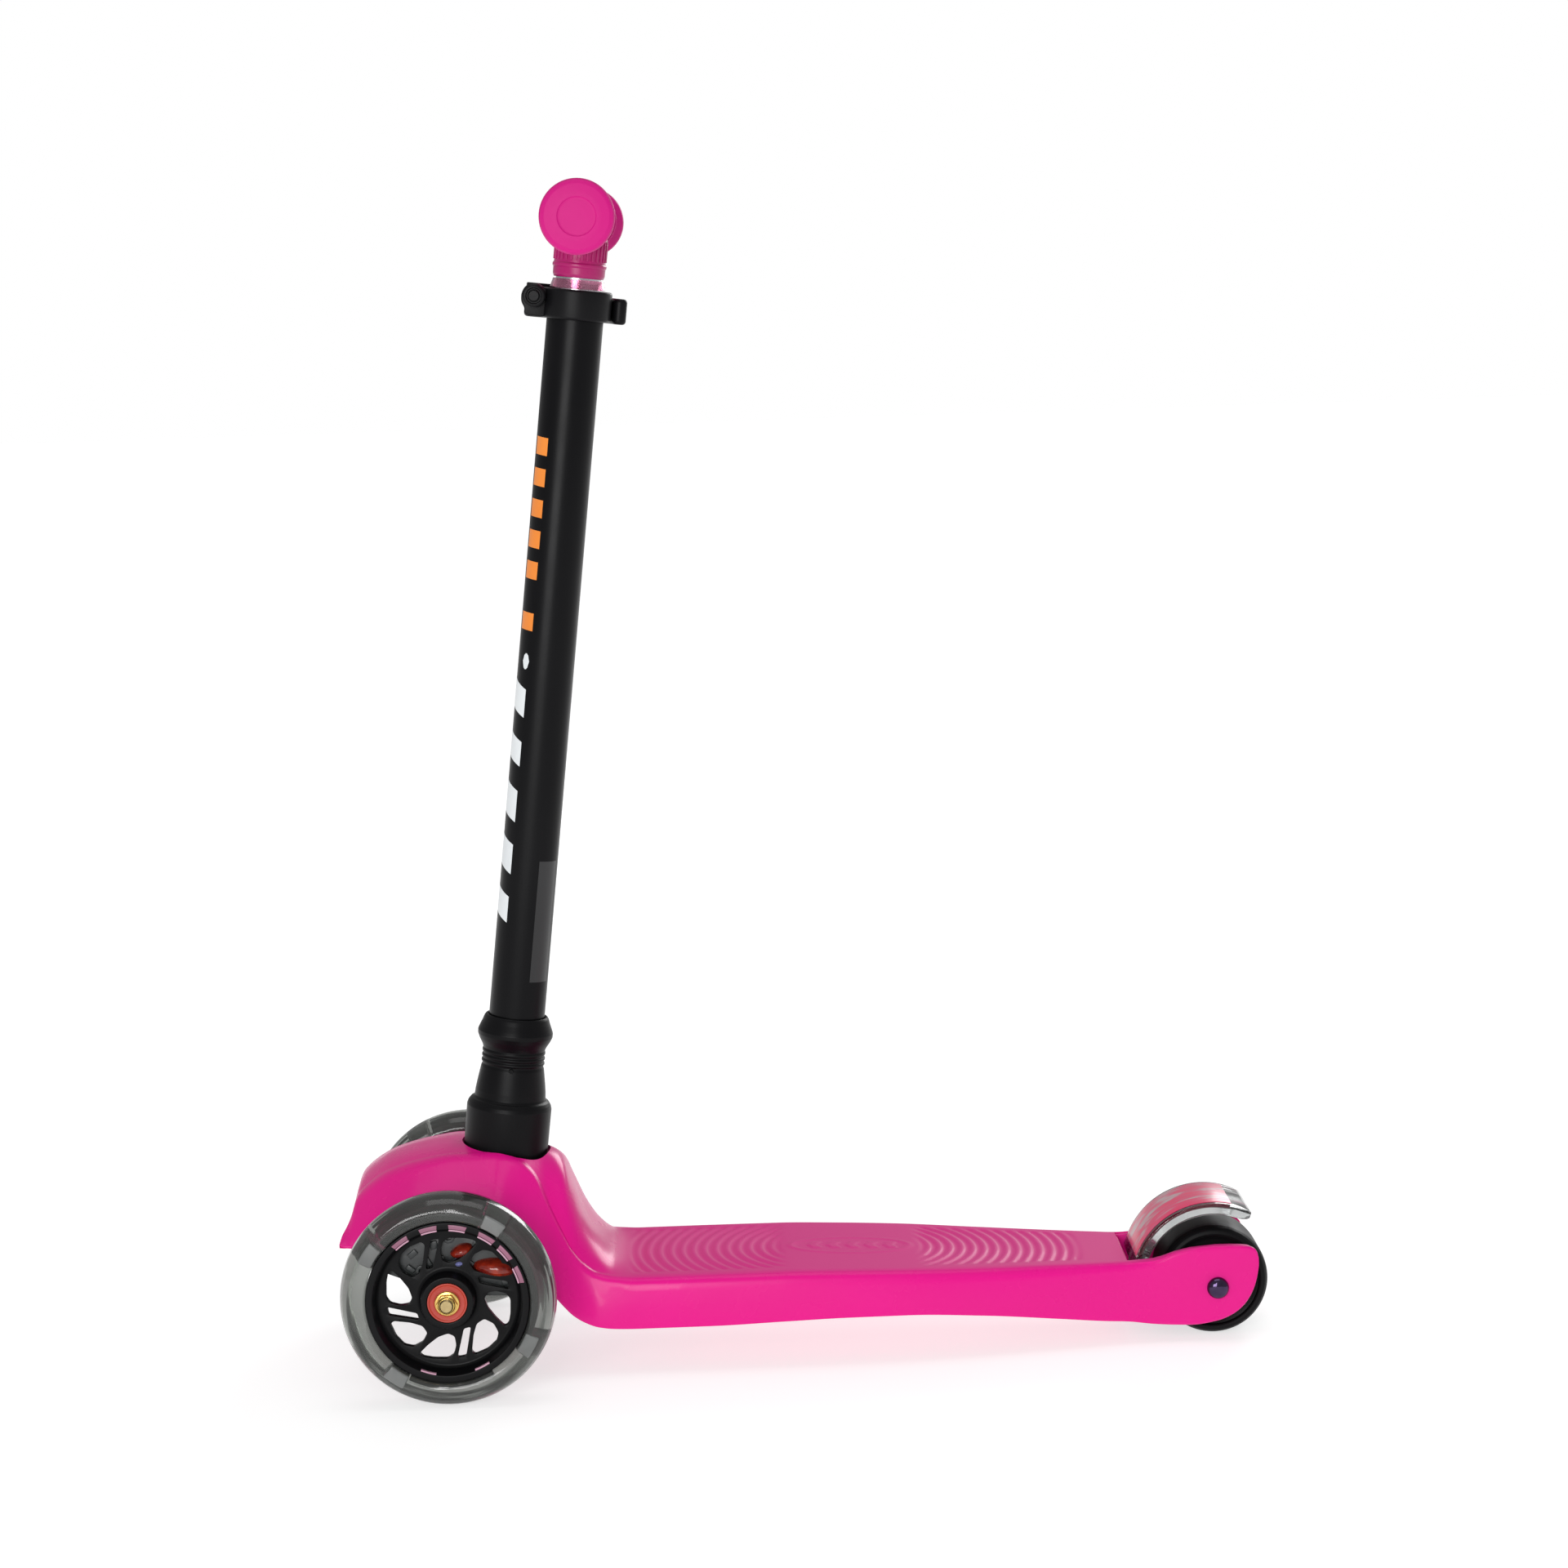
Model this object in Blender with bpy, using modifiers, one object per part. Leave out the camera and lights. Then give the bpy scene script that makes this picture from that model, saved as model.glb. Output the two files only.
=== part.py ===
"""Three-wheeled lean-to-steer kick scooter for a child, built as an assembly of separate named pieces.

Frame: metres, +X forward, +Y to the rider's left, +Z up. The origin is on the ground under the
middle of the scooter's bounding box. Lengths below are written in millimetres and scaled by MM.
"""

import math

import bmesh
import bpy
from mathutils import Matrix, Vector

MM = 0.001

# ---- driving dimensions, in millimetres; x is counted from the front axle until FRONT_AXLE_X is added
FRONT_AXLE_X = 202.4
TRACK_HALF = 105.0
KINGPIN_Y = 62.0
AXLE_Z = 60.0
REAR_AXLE_X = -435.0
REAR_WHEEL_R = 31.8
REAR_HALF_W = 22.0
RAKE = math.radians(6.95)
STEM_FOOT_X = -14.3
LEAN_Z = 98.0
STEER_ARM = 38.0
TIE_ROD_Z = 71.0
HANDLEBAR_S = 653.4
TUBE_R = 16.0
INNER_TUBE_R = 12.7
GAP = 0.3
BEARING = {"bore": 4.25, "outer": 11.0, "width": 7.0}
ROUND = 24
DECK_SKIN = 3.2
ARM_INNER_Y = 29.5
ARM_THICK = 7.5
FENDER_PIN = (-392.5, 42.5)
FENDER_CENTRE = (-433.8, 31.8)
FENDER_IN, FENDER_OUT = 44.4, 46.9
CLAMP_BOLT = (23.6, 608.8)
LEVER_PIVOT_Y = -16.6

# Stations of the pink body from nose to tail: x, centre height, shoulder height, shoulder half-width,
# shoulder radius, lower edge half-width, lower edge height.
BODY_STATIONS = (
    (62.0, 88.5, 88.0, 66.0, 3.0, 75.0, 84.2),
    (58.0, 97.5, 95.0, 52.0, 8.0, 76.0, 83.5),
    (54.5, 105.0, 101.5, 44.0, 10.0, 76.5, 83.5),
    (48.0, 112.0, 109.0, 39.0, 11.0, 76.5, 84.5),
    (36.0, 118.5, 116.0, 36.0, 11.0, 77.0, 87.0),
    (18.0, 123.0, 121.0, 34.0, 10.0, 77.0, 90.0),
    (-2.0, 125.5, 123.8, 33.5, 10.0, 77.0, 91.0),
    (-24.0, 125.5, 123.8, 33.5, 9.0, 77.0, 88.0),
    (-38.0, 123.5, 119.5, 34.5, 9.0, 76.0, 79.0),
    (-47.0, 121.0, 111.5, 37.5, 9.0, 74.5, 67.0),
    (-55.0, 118.5, 94.0, 45.0, 9.0, 72.5, 53.0),
    (-62.0, 112.5, 80.0, 51.0, 9.0, 70.0, 43.0),
    (-67.0, 100.0, 71.0, 55.0, 9.0, 68.0, 37.0),
    (-73.5, 83.5, 63.5, 57.5, 9.0, 66.0, 32.0),
    (-81.0, 70.5, 58.5, 59.5, 9.0, 64.5, 28.5),
    (-91.0, 60.5, 56.5, 61.0, 9.0, 64.0, 27.0),
    (-104.0, 56.0, 56.0, 62.0, 9.0, 63.5, 26.5),
    (-185.0, 56.0, 56.0, 62.0, 9.0, 63.5, 27.5),
    (-255.0, 53.8, 53.8, 59.0, 9.0, 60.5, 28.0),
    (-300.0, 51.8, 51.6, 53.0, 9.0, 54.5, 24.5),
    (-345.0, 50.0, 49.8, 45.0, 8.0, 46.0, 18.5),
    (-384.0, 48.6, 48.4, 38.3, 6.0, 38.7, 13.5),
)

COLLAR_SCREW_S = 169.0

COLOURS = {
    "pink": (0.80, 0.02, 0.28, 1.0, 0.25, 0.0),
    "pink_rubber": (0.75, 0.03, 0.28, 1.0, 0.55, 0.0),
    "clear_pink": (0.85, 0.15, 0.35, 0.6, 0.2, 0.0),
    "black": (0.012, 0.012, 0.013, 1.0, 0.45, 0.0),
    "black_paint": (0.01, 0.01, 0.011, 1.0, 0.3, 0.0),
    "clear": (0.8, 0.82, 0.8, 0.35, 0.1, 0.0),
    "steel": (0.55, 0.55, 0.57, 1.0, 0.3, 1.0),
    "aluminium": (0.75, 0.76, 0.78, 1.0, 0.25, 1.0),
    "dark_chrome": (0.12, 0.12, 0.15, 1.0, 0.15, 1.0),
    "brass": (0.75, 0.55, 0.2, 1.0, 0.3, 1.0),
    "red": (0.75, 0.08, 0.03, 1.0, 0.45, 0.0),
    "nylon": (0.6, 0.6, 0.58, 1.0, 0.5, 0.0),
}

for stale in list(bpy.data.objects):
    bpy.data.objects.remove(stale)

PARTS = bpy.data.collections.new("kick_scooter")
CUTTERS = bpy.data.collections.new("cutters")
for shelf in (PARTS, CUTTERS):
    bpy.context.scene.collection.children.link(shelf)


# ---- small tools


def material(key):
    found = bpy.data.materials.get(key)
    if found:
        return found
    made = bpy.data.materials.new(key)
    made.use_nodes = True
    red, green, blue, alpha, roughness, metallic = COLOURS[key]
    shader = made.node_tree.nodes["Principled BSDF"]
    shader.inputs["Base Color"].default_value = (red, green, blue, 1.0)
    shader.inputs["Alpha"].default_value = alpha
    shader.inputs["Roughness"].default_value = roughness
    shader.inputs["Metallic"].default_value = metallic
    return made


def place(obj, at=(0, 0, 0), turn=None, parent=None):
    """Puts obj at a point given in millimetres, turned by a matrix, under a parent empty if there is one."""
    obj.parent = parent
    pose = Matrix.Translation(Vector(at) * MM)
    if turn is not None:
        pose = pose @ turn
    obj.matrix_basis = pose
    return obj


def add(obj, key):
    """Files obj with the parts and gives it its material."""
    PARTS.objects.link(obj)
    obj.data.materials.append(material(key))
    return obj


def helper(obj):
    """Files obj with the cutters, which aren't parts."""
    CUTTERS.objects.link(obj)
    obj.hide_render = True
    obj.display_type = "WIRE"
    return obj


def mesh_object(name, work):
    mesh = bpy.data.meshes.new(name)
    work.to_mesh(mesh)
    work.free()
    return bpy.data.objects.new(name, mesh)


def baked(obj):
    """A new mesh object with obj's modifiers or curve applied, in obj's place; obj is removed."""
    if not obj.users_collection:
        bpy.context.scene.collection.objects.link(obj)
    bpy.context.view_layer.update()
    graph = bpy.context.evaluated_depsgraph_get()
    mesh = bpy.data.meshes.new_from_object(obj.evaluated_get(graph))
    name = obj.name
    matrix = obj.matrix_world.copy()
    work = bmesh.new()
    work.from_mesh(mesh)
    bmesh.ops.remove_doubles(work, verts=work.verts, dist=1e-6)
    work.to_mesh(mesh)
    work.free()
    bpy.data.objects.remove(obj)
    made = bpy.data.objects.new(name, mesh)
    made.matrix_world = matrix
    return made


def lathe(name, profile, steps=ROUND, closed=True):
    """Turns a profile of (radius, height) points about Z. A closed profile is a ring; an open one runs axis to axis."""
    area = sum(
        r0 * z1 - r1 * z0 for (r0, z0), (r1, z1) in zip(profile, (*profile[1:], profile[0]))
    )
    points = list(profile) if area < 0 else list(reversed(profile))
    work = bmesh.new()
    ring = [work.verts.new((r * MM, 0, z * MM)) for r, z in points]
    for first, second in zip(ring, ring[1:]):
        work.edges.new((first, second))
    if closed:
        work.edges.new((ring[-1], ring[0]))
    obj = mesh_object(name, work)
    screw = obj.modifiers.new("turn", "SCREW")
    screw.axis = "Z"
    screw.angle = math.tau
    screw.steps = steps
    screw.render_steps = steps
    screw.use_merge_vertices = True
    screw.merge_threshold = 0.000005
    screw.use_normal_calculate = False
    return obj


def ring(name, inner, outer, low, high, steps=ROUND):
    return lathe(name, ((inner, low), (outer, low), (outer, high), (inner, high)), steps)


def rod(name, radius, low, high, chamfer=0.4, steps=ROUND):
    c = chamfer
    profile = ((0, low), (radius - c, low), (radius, low + c), (radius, high - c), (radius - c, high), (0, high))
    return lathe(name, profile, steps, closed=False)


def block(name, low, high, bevel=0.0):
    """A box between two corners in millimetres, with its edges rounded."""
    work = bmesh.new()
    bmesh.ops.create_cube(work, size=1.0)
    size = Vector(high) - Vector(low)
    middle = (Vector(high) + Vector(low)) / 2
    bmesh.ops.scale(work, vec=size * MM, verts=work.verts)
    bmesh.ops.translate(work, vec=middle * MM, verts=work.verts)
    obj = mesh_object(name, work)
    if bevel:
        round_edges = obj.modifiers.new("round", "BEVEL")
        round_edges.width = bevel * MM
        round_edges.segments = 2
    return obj


def slab(name, outline, low, high):
    """A flat outline of (x, y) points in millimetres, given thickness from low to high along Z."""
    curve = bpy.data.curves.new(name, "CURVE")
    curve.dimensions = "2D"
    curve.fill_mode = "BOTH"
    curve.extrude = (high - low) / 2 * MM
    line = curve.splines.new("POLY")
    line.points.add(len(outline) - 1)
    line.use_cyclic_u = True
    for point, (x, y) in zip(line.points, outline):
        point.co = (x * MM, y * MM, 0, 1)
    made = baked(bpy.data.objects.new(name, curve))
    made.data.transform(Matrix.Translation((0, 0, (low + high) / 2 * MM)))
    return made


def boolean(obj, other, operation):
    """Applies one exact Boolean of obj with other, a mesh object, and returns the new mesh object."""
    if not obj.users_collection:
        CUTTERS.objects.link(obj)
    if not other.users_collection:
        CUTTERS.objects.link(other)
    step = obj.modifiers.new("boolean", "BOOLEAN")
    step.object = other
    step.operation = operation
    step.solver = "EXACT"
    done = baked(obj)
    bpy.data.objects.remove(other)
    return done


def joined(obj, *others):
    for other in others:
        obj = boolean(obj, other, "UNION")
    return obj


def cut(obj, *others):
    for other in others:
        obj = boolean(obj, other, "DIFFERENCE")
    return obj


def finish(obj, key, parent=None):
    """Files a finished piece, smooth-shaded except at sharp edges."""
    if obj.users_collection:
        for shelf in list(obj.users_collection):
            shelf.objects.unlink(obj)
    if parent is not None:
        local = obj.matrix_basis.copy()
        obj.parent = parent
        obj.matrix_basis = local
    add(obj, key)
    obj.data.shade_smooth()
    obj.data.set_sharp_from_angle(angle=math.radians(35))
    return obj


def empty(name, at, turn=None):
    made = bpy.data.objects.new(name, None)
    PARTS.objects.link(made)
    return place(made, at, turn)


ALONG_X = Matrix.Rotation(math.pi / 2, 4, "Y")
ALONG_Y = Matrix.Rotation(-math.pi / 2, 4, "X")
HALF_TURN = Matrix.Rotation(math.pi, 4, "Z")
UPRIGHT = Matrix.Rotation(math.pi / 2, 4, "X")

front_frame = empty("front_axle_frame", (FRONT_AXLE_X, 0, 0))
stem_frame = empty("stem_frame", (FRONT_AXLE_X + STEM_FOOT_X, 0, 0), Matrix.Rotation(-RAKE, 4, "Y"))
rear_frame = empty("rear_axle_frame", (FRONT_AXLE_X + REAR_AXLE_X, 0, REAR_WHEEL_R), ALONG_Y)


def arc(centre, radius, start, stop, count):
    """Points on an arc, in degrees, both ends included."""
    made = []
    for i in range(count):
        angle = math.radians(start + (stop - start) * i / (count - 1))
        made.append((centre[0] + radius * math.cos(angle), centre[1] + radius * math.sin(angle)))
    return made


# ---- deck and body moulding


def half_section(top, shoulder, half_width, radius, low_width, low):
    """Half of one cross-section from the centre line out and down to the lower edge, as (y, z)."""
    start = Vector((half_width - radius, shoulder))
    corner = Vector((half_width, shoulder))
    foot = Vector((low_width, low))
    end = corner + (foot - corner).normalized() * radius
    points = [Vector((0, top)), Vector((start.x * 0.5, top + (shoulder - top) * 0.3))]
    for t in (0, 0.33, 0.67, 1):
        points.append(start * (1 - t) ** 2 + corner * 2 * t * (1 - t) + end * t * t)
    points += [(end + foot) / 2, foot]
    return points


def body_skin():
    """The moulding's outer skin from nose to the front of the rear wheel, open below."""
    work = bmesh.new()
    rows = []
    for x, *section in BODY_STATIONS:
        half = half_section(*section)
        whole = [Vector((-p.x, p.y)) for p in reversed(half[1:])] + half
        rows.append([work.verts.new((x * MM, p.x * MM, p.y * MM)) for p in whole])
    for ahead, behind in zip(rows, rows[1:]):
        for i in range(len(ahead) - 1):
            work.faces.new((ahead[i], behind[i], behind[i + 1], ahead[i + 1]))
    nose = rows[0]
    work.faces.new(nose)
    bmesh.ops.recalc_face_normals(work, faces=work.faces)
    skin = mesh_object("deck_body", work)
    if skin.data.polygons[len(skin.data.polygons) // 2].normal.z < 0:
        skin.data.flip_normals()
    wall = skin.modifiers.new("wall", "SOLIDIFY")
    wall.thickness = DECK_SKIN * MM
    wall.offset = -1
    wall.use_even_offset = False
    return baked(skin)


def tail_arm(side):
    """One of the two arms that hold the rear axle, an upright slab with a rounded lobe."""
    outline = [(-366, 46), (-384, 47.8), (-398.7, 49.2), (-411.4, 53.5), (-434.9, 56.0), (-450, 55.0)]
    outline += [(-457, 52.0), (-458.8, 46.0), (-458.1, 38.9), (-453.1, 24.6), (-447, 17.5), (-438.9, 13.1)]
    outline += [(-420, 9.9), (-400, 11.0), (-366, 15.5)]
    arm = slab("arm", outline, 0, ARM_THICK)
    inner = ARM_INNER_Y if side > 0 else -ARM_INNER_Y - ARM_THICK
    arm.data.transform(Matrix.Translation((0, (inner + ARM_THICK) * MM, 0)) @ UPRIGHT)
    return arm


def deck_rib(y):
    """A lengthwise rib under the deck, following its top."""
    outline = ((-100, 53.8), (-185, 53.8), (-255, 51.6), (-330, 48.2), (-330, 31), (-100, 31))
    rib = slab("rib", outline, -1.4, 1.4)
    rib.data.transform(Matrix.Translation((0, y * MM, 0)) @ UPRIGHT)
    return rib


def deck_body():
    body = body_skin()
    collar_x = STEM_FOOT_X - 124 * math.tan(RAKE)
    opening = baked(lathe("opening", ((0, 105), (25.8, 105), (25.8, 150), (0, 150)), 40, closed=False))
    opening.data.transform(Matrix.Diagonal((1.0, 1.16, 1.0, 1.0)))
    opening.data.transform(Matrix.Translation((collar_x * MM, 0, 0)))
    body = cut(body, opening)
    body = joined(body, block("rear_wall", (-385, -32, 14), (-378, 32, 47)), tail_arm(1), tail_arm(-1))
    front_rib = block("cross", (-105.5, -55, 32), (-102.5, 55, 54))
    rear_rib = block("cross", (-301.5, -46, 30), (-298.5, 46, 50))
    body = joined(body, deck_rib(34), deck_rib(-34), front_rib, rear_rib)
    axle_hole = baked(rod("axle_hole", 4.25, -50, 50, 0))
    axle_hole.data.transform(Matrix.Translation((REAR_AXLE_X * MM, 0, REAR_WHEEL_R * MM)) @ ALONG_Y)
    pin_hole = baked(rod("pin_hole", 2.3, -33.2, 33.2, 0, 16))
    pin_hole.data.transform(Matrix.Translation((FENDER_PIN[0] * MM, 0, FENDER_PIN[1] * MM)) @ ALONG_Y)
    body = cut(body, axle_hole, pin_hole)
    for x, y in PAN_SCREWS:
        foot = PAN_HIGH + 0.4
        body = joined(body, block("boss", (x - 4, y - 4, foot), (x + 4, y + 4, BOSS_TOPS[x])))
        hole = baked(rod("pilot", 2.2, foot - 4, foot + 14, 0, 12))
        hole.data.transform(Matrix.Translation((x * MM, y * MM, 0)))
        body = cut(body, hole)
    return finish(body, "pink", front_frame)


# ---- front chassis, lean axle and centring pucks

PAN_LOW, PAN_HIGH = 76.0, 80.0
PAN_SCREWS = ((26.0, 34.0), (26.0, -34.0), (-50.0, 38.0), (-50.0, -38.0))
BOSS_TOPS = {26.0: 112.5, -50.0: 91.5}
POST_HALF_Y = 11.0


def chassis_pan():
    """The black frame under the hump: plate, lean-axle posts and lower brackets for the kingpins."""
    outline = [(34, 30), (34, 42), (22, 50), (13, 52), (13, 72), (-13, 72), (-13, 52), (-48, 49), (-60, 34)]
    outline += [(x, -y) for x, y in reversed(outline)]
    pan = slab("chassis_pan", outline, PAN_LOW, PAN_HIGH)
    for low_x in (6.5, -57.5):
        post = block("post", (low_x, -POST_HALF_Y, PAN_LOW + 1), (low_x + 9, POST_HALF_Y, LEAN_Z + 9))
        pan = joined(pan, post)
    for side in (1, -1):
        y0, y1 = sorted((side * 47.5, side * 52.0))
        web = block("web", (-11, y0, 42), (11, y1, PAN_LOW + 1))
        y0, y1 = sorted((side * 48.0, side * 72.0))
        ear = block("ear", (-11.5, y0, 41.5), (11.5, y1, 45.5))
        pan = joined(pan, web, ear)
    cutters = [block("finger_slot", (-STEER_ARM - 6, -13, 60), (-STEER_ARM + 6, 13, 90))]
    for side in (1, -1):
        hole = baked(rod("hole", 4.3, 30, 90, 0, 16))
        hole.data.transform(Matrix.Translation((0, side * KINGPIN_Y * MM, 0)))
        cutters.append(hole)
    bore = baked(rod("bore", 5.25, -80, 40, 0, 20))
    bore.data.transform(Matrix.Translation((0, 0, LEAN_Z * MM)) @ ALONG_X)
    cutters.append(bore)
    for x, y in PAN_SCREWS:
        hole = baked(rod("hole", 2.4, 60, 90, 0, 12))
        hole.data.transform(Matrix.Translation((x * MM, y * MM, 0)))
        cutters.append(hole)
    pan = cut(pan, *cutters)
    return finish(pan, "black", front_frame)


def lean_axle():
    """A steel pin along X that the steering column leans on, with a head in front and a nut behind."""
    head = 7.5
    profile = ((0, -60.6), (5, -60.6), (5, 16), (head, 16), (head, 21), (head - 0.8, 22), (0, 22))
    pin = lathe("lean_axle", profile, 24, closed=False)
    place(pin, (0, 0, LEAN_Z), ALONG_X)
    finish(pin, "steel", front_frame)
    nut = ring("lean_axle_nut", 6.2, 8.4, -61.0, -57.8, 6)
    place(nut, (0, 0, LEAN_Z), ALONG_X)
    finish(nut, "steel", front_frame)


def screws():
    for x, y in PAN_SCREWS:
        end = "front" if x > 0 else "rear"
        side = "left" if y > 0 else "right"
        low = PAN_LOW - 0.3
        profile = ((0, low - 3), (4.2, low - 3), (4.2, low - 1), (3.4, low), (1.9, low), (1.9, 91), (0, 92.5))
        screw = lathe(f"pan_screw_{end}_{side}", profile, 12, closed=False)
        place(screw, (x, y, 0))
        finish(screw, "steel", front_frame)


def centring_pucks():
    for side, word in ((1, "left"), (-1, "right")):
        profile = ((0, 80.3), (6.5, 80.3), (5.8, 82.5), (6.5, 84.8), (0, 84.8))
        puck = lathe(f"centering_puck_{word}", profile, 16, closed=False)
        place(puck, (-22, side * 27.5, 0))
        finish(puck, "red", front_frame)


# ---- steering column, tubes and clamp


def steering_column():
    """The black socket that the tube plugs into, with the pivot barrel and tie-rod finger below."""
    profile = (
        (0, 102), (20, 102), (20, 113), (24, 118), (24.2, 146), (23.4, 149.4), (20.6, 150.6), (18.0, 170),
        (18.0, 179), (21.4, 188), (21.4, 190.5), (18.4, 198.2), (16.4, 199), (16.4, 137), (0, 137),
    )
    socket = baked(lathe("socket", profile, 32, closed=False))
    barrel = baked(rod("barrel", 13, -48.0, 6.1, 1, 24))
    barrel.data.transform(Matrix.Translation((0, 0, LEAN_Z * MM)) @ ALONG_X)
    to_front = Matrix.Translation((STEM_FOOT_X * MM, 0, 0)) @ Matrix.Rotation(-RAKE, 4, "Y")
    socket.data.transform(to_front)
    wing = baked(block("wing", (-30, -34, 91), (-14, 34, 97), 1.0))
    reach = baked(block("reach", (-STEER_ARM - 4, -5, 82.5), (-22, 5, 92), 1.0))
    finger = baked(rod("finger", 4.0, TIE_ROD_Z - 4, 86, 1.2, 16))
    finger.data.transform(Matrix.Translation((-STEER_ARM * MM, 0, 0)))
    column = joined(socket, barrel, wing, reach, finger)
    bore = baked(rod("bore", 7.35, -80, 60, 0, 20))
    bore.data.transform(Matrix.Translation((0, 0, LEAN_Z * MM)) @ ALONG_X)
    pin_hole = baked(rod("pin_hole", 1.7, 14, 24, 0, 12))
    screw_turn = Matrix.Translation((0, 0, COLLAR_SCREW_S * MM)) @ ALONG_Y
    pin_hole.data.transform(to_front @ screw_turn)
    column = cut(column, bore, pin_hole)
    column.name = "steering_column"
    finish(column, "black", front_frame)

    for word, bush_low, bush_high in (("rear", -47.6, -31.0), ("front", -11.0, 5.4)):
        bush = ring(f"lean_bush_{word}", 5.3, 7.0, bush_low, bush_high, 20)
        place(bush, (0, 0, LEAN_Z), ALONG_X)
        finish(bush, "nylon", front_frame)

    head = ((0, 16.6), (1.4, 16.6), (1.4, 18.0), (1.2, 18.6), (0, 18.6))
    screw = lathe("collar_screw", head, 12, closed=False)
    place(screw, (0, 0, COLLAR_SCREW_S), ALONG_Y)
    finish(screw, "steel", stem_frame)


def tubes():
    finish(ring("outer_tube", 14.5, TUBE_R, 137.4, 611.6, 32), "black_paint", stem_frame)
    sleeve = ((13.0, 556), (14.2, 556), (14.2, 612.0), (15.6, 612.0), (15.6, 613.8), (13.0, 613.8))
    finish(lathe("guide_sleeve", sleeve, 28), "black", stem_frame)
    finish(ring("inner_tube", 11.2, INNER_TUBE_R, 340, HANDLEBAR_S - 16.1, 28), "aluminium", stem_frame)


def clamp():
    """Quick-release clamp: split ring with two ears, eye bolt, nut, cam pin and wrap-round lever."""
    bolt_x, bolt_s = CLAMP_BOLT
    grip_r = TUBE_R + GAP + 0.2
    collar = baked(ring("clamp_collar", grip_r, 19.8, 597.4, 614.2, 28))
    ears = baked(block("ears", (16.0, -10.2, 597.6), (30.8, 10.2, 616.0), 2.2))
    collar = joined(collar, ears)
    slot = block("slot", (12, -1.2, 590), (40, 1.2, 625))
    bore = baked(rod("bore", grip_r, 580, 640, 0, 28))
    hole = baked(rod("hole", 3.4, -20, 20, 0, 16))
    hole.data.transform(Matrix.Translation((bolt_x * MM, 0, bolt_s * MM)) @ ALONG_Y)
    collar = cut(collar, bore, slot, hole)
    finish(collar, "black", stem_frame)

    shank = baked(rod("clamp_bolt", 3.0, LEVER_PIVOT_Y, 16.0, 0.3, 16))
    shank.data.transform(Matrix.Translation((bolt_x * MM, 0, bolt_s * MM)) @ ALONG_Y)
    eye = baked(rod("eye", 5.2, bolt_s - 3.4, bolt_s + 3.4, 0.4, 20))
    eye.data.transform(Matrix.Translation((bolt_x * MM, LEVER_PIVOT_Y * MM, 0)))
    eye_hole = baked(rod("eye_hole", 2.8, bolt_s - 9, bolt_s + 9, 0, 16))
    eye_hole.data.transform(Matrix.Translation((bolt_x * MM, LEVER_PIVOT_Y * MM, 0)))
    bolt = cut(joined(shank, eye), eye_hole)
    finish(bolt, "steel", stem_frame)

    nut = lathe("clamp_nut", ((3.2, 10.6), (6.6, 10.6), (6.6, 14.4), (5.8, 15.4), (3.2, 15.4)), 20)
    place(nut, (bolt_x, 0, bolt_s), ALONG_Y)
    finish(nut, "black", stem_frame)

    pin = rod("cam_pin", 2.5, 598.2, bolt_s + 7.0, 0.4, 16)
    place(pin, (bolt_x, LEVER_PIVOT_Y, 0))
    finish(pin, "steel", stem_frame)
    lever()


def lever():
    """The lever: a cam on its pin, then an arm that wraps the clamp's right side to the rear."""
    bolt_x, bolt_s = CLAMP_BOLT
    pivot = (bolt_x, LEVER_PIVOT_Y)
    outer = arc((0, 0), 28.0, -60, -166, 12)
    inner = arc((0, 0), 23.0, -64, -164, 12)
    tip = arc((-24.8, -4.6), 3.6, -178, -330, 7)
    outline = arc(pivot, 6.0, 40, -45, 5) + outer + tip + inner[::-1] + arc(pivot, 6.0, 150, 60, 4)
    arm = slab("clamp_lever", outline, 597.6, 611.2)
    gap = baked(rod("gap", 7.6, bolt_s - 3.8, bolt_s + 3.8, 0, 24))
    gap.data.transform(Matrix.Translation((pivot[0] * MM, pivot[1] * MM, 0)))
    hole = baked(rod("hole", 2.8, bolt_s - 20, bolt_s + 20, 0, 16))
    hole.data.transform(Matrix.Translation((pivot[0] * MM, pivot[1] * MM, 0)))
    bridge = block("bridge", (9.6, -22.4, 600), (15.8, -18.0, bolt_s + 6.9))
    cheek = slab("cheek", arc(pivot, 5.8, 90, -90, 8) + [(10.0, -22.2), (9.8, -18.4)], bolt_s + 4.1, bolt_s + 7.1)
    arm = joined(cut(arm, gap), bridge, cheek)
    arm = cut(arm, hole)
    finish(arm, "black", stem_frame)


# ---- handlebar


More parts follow.
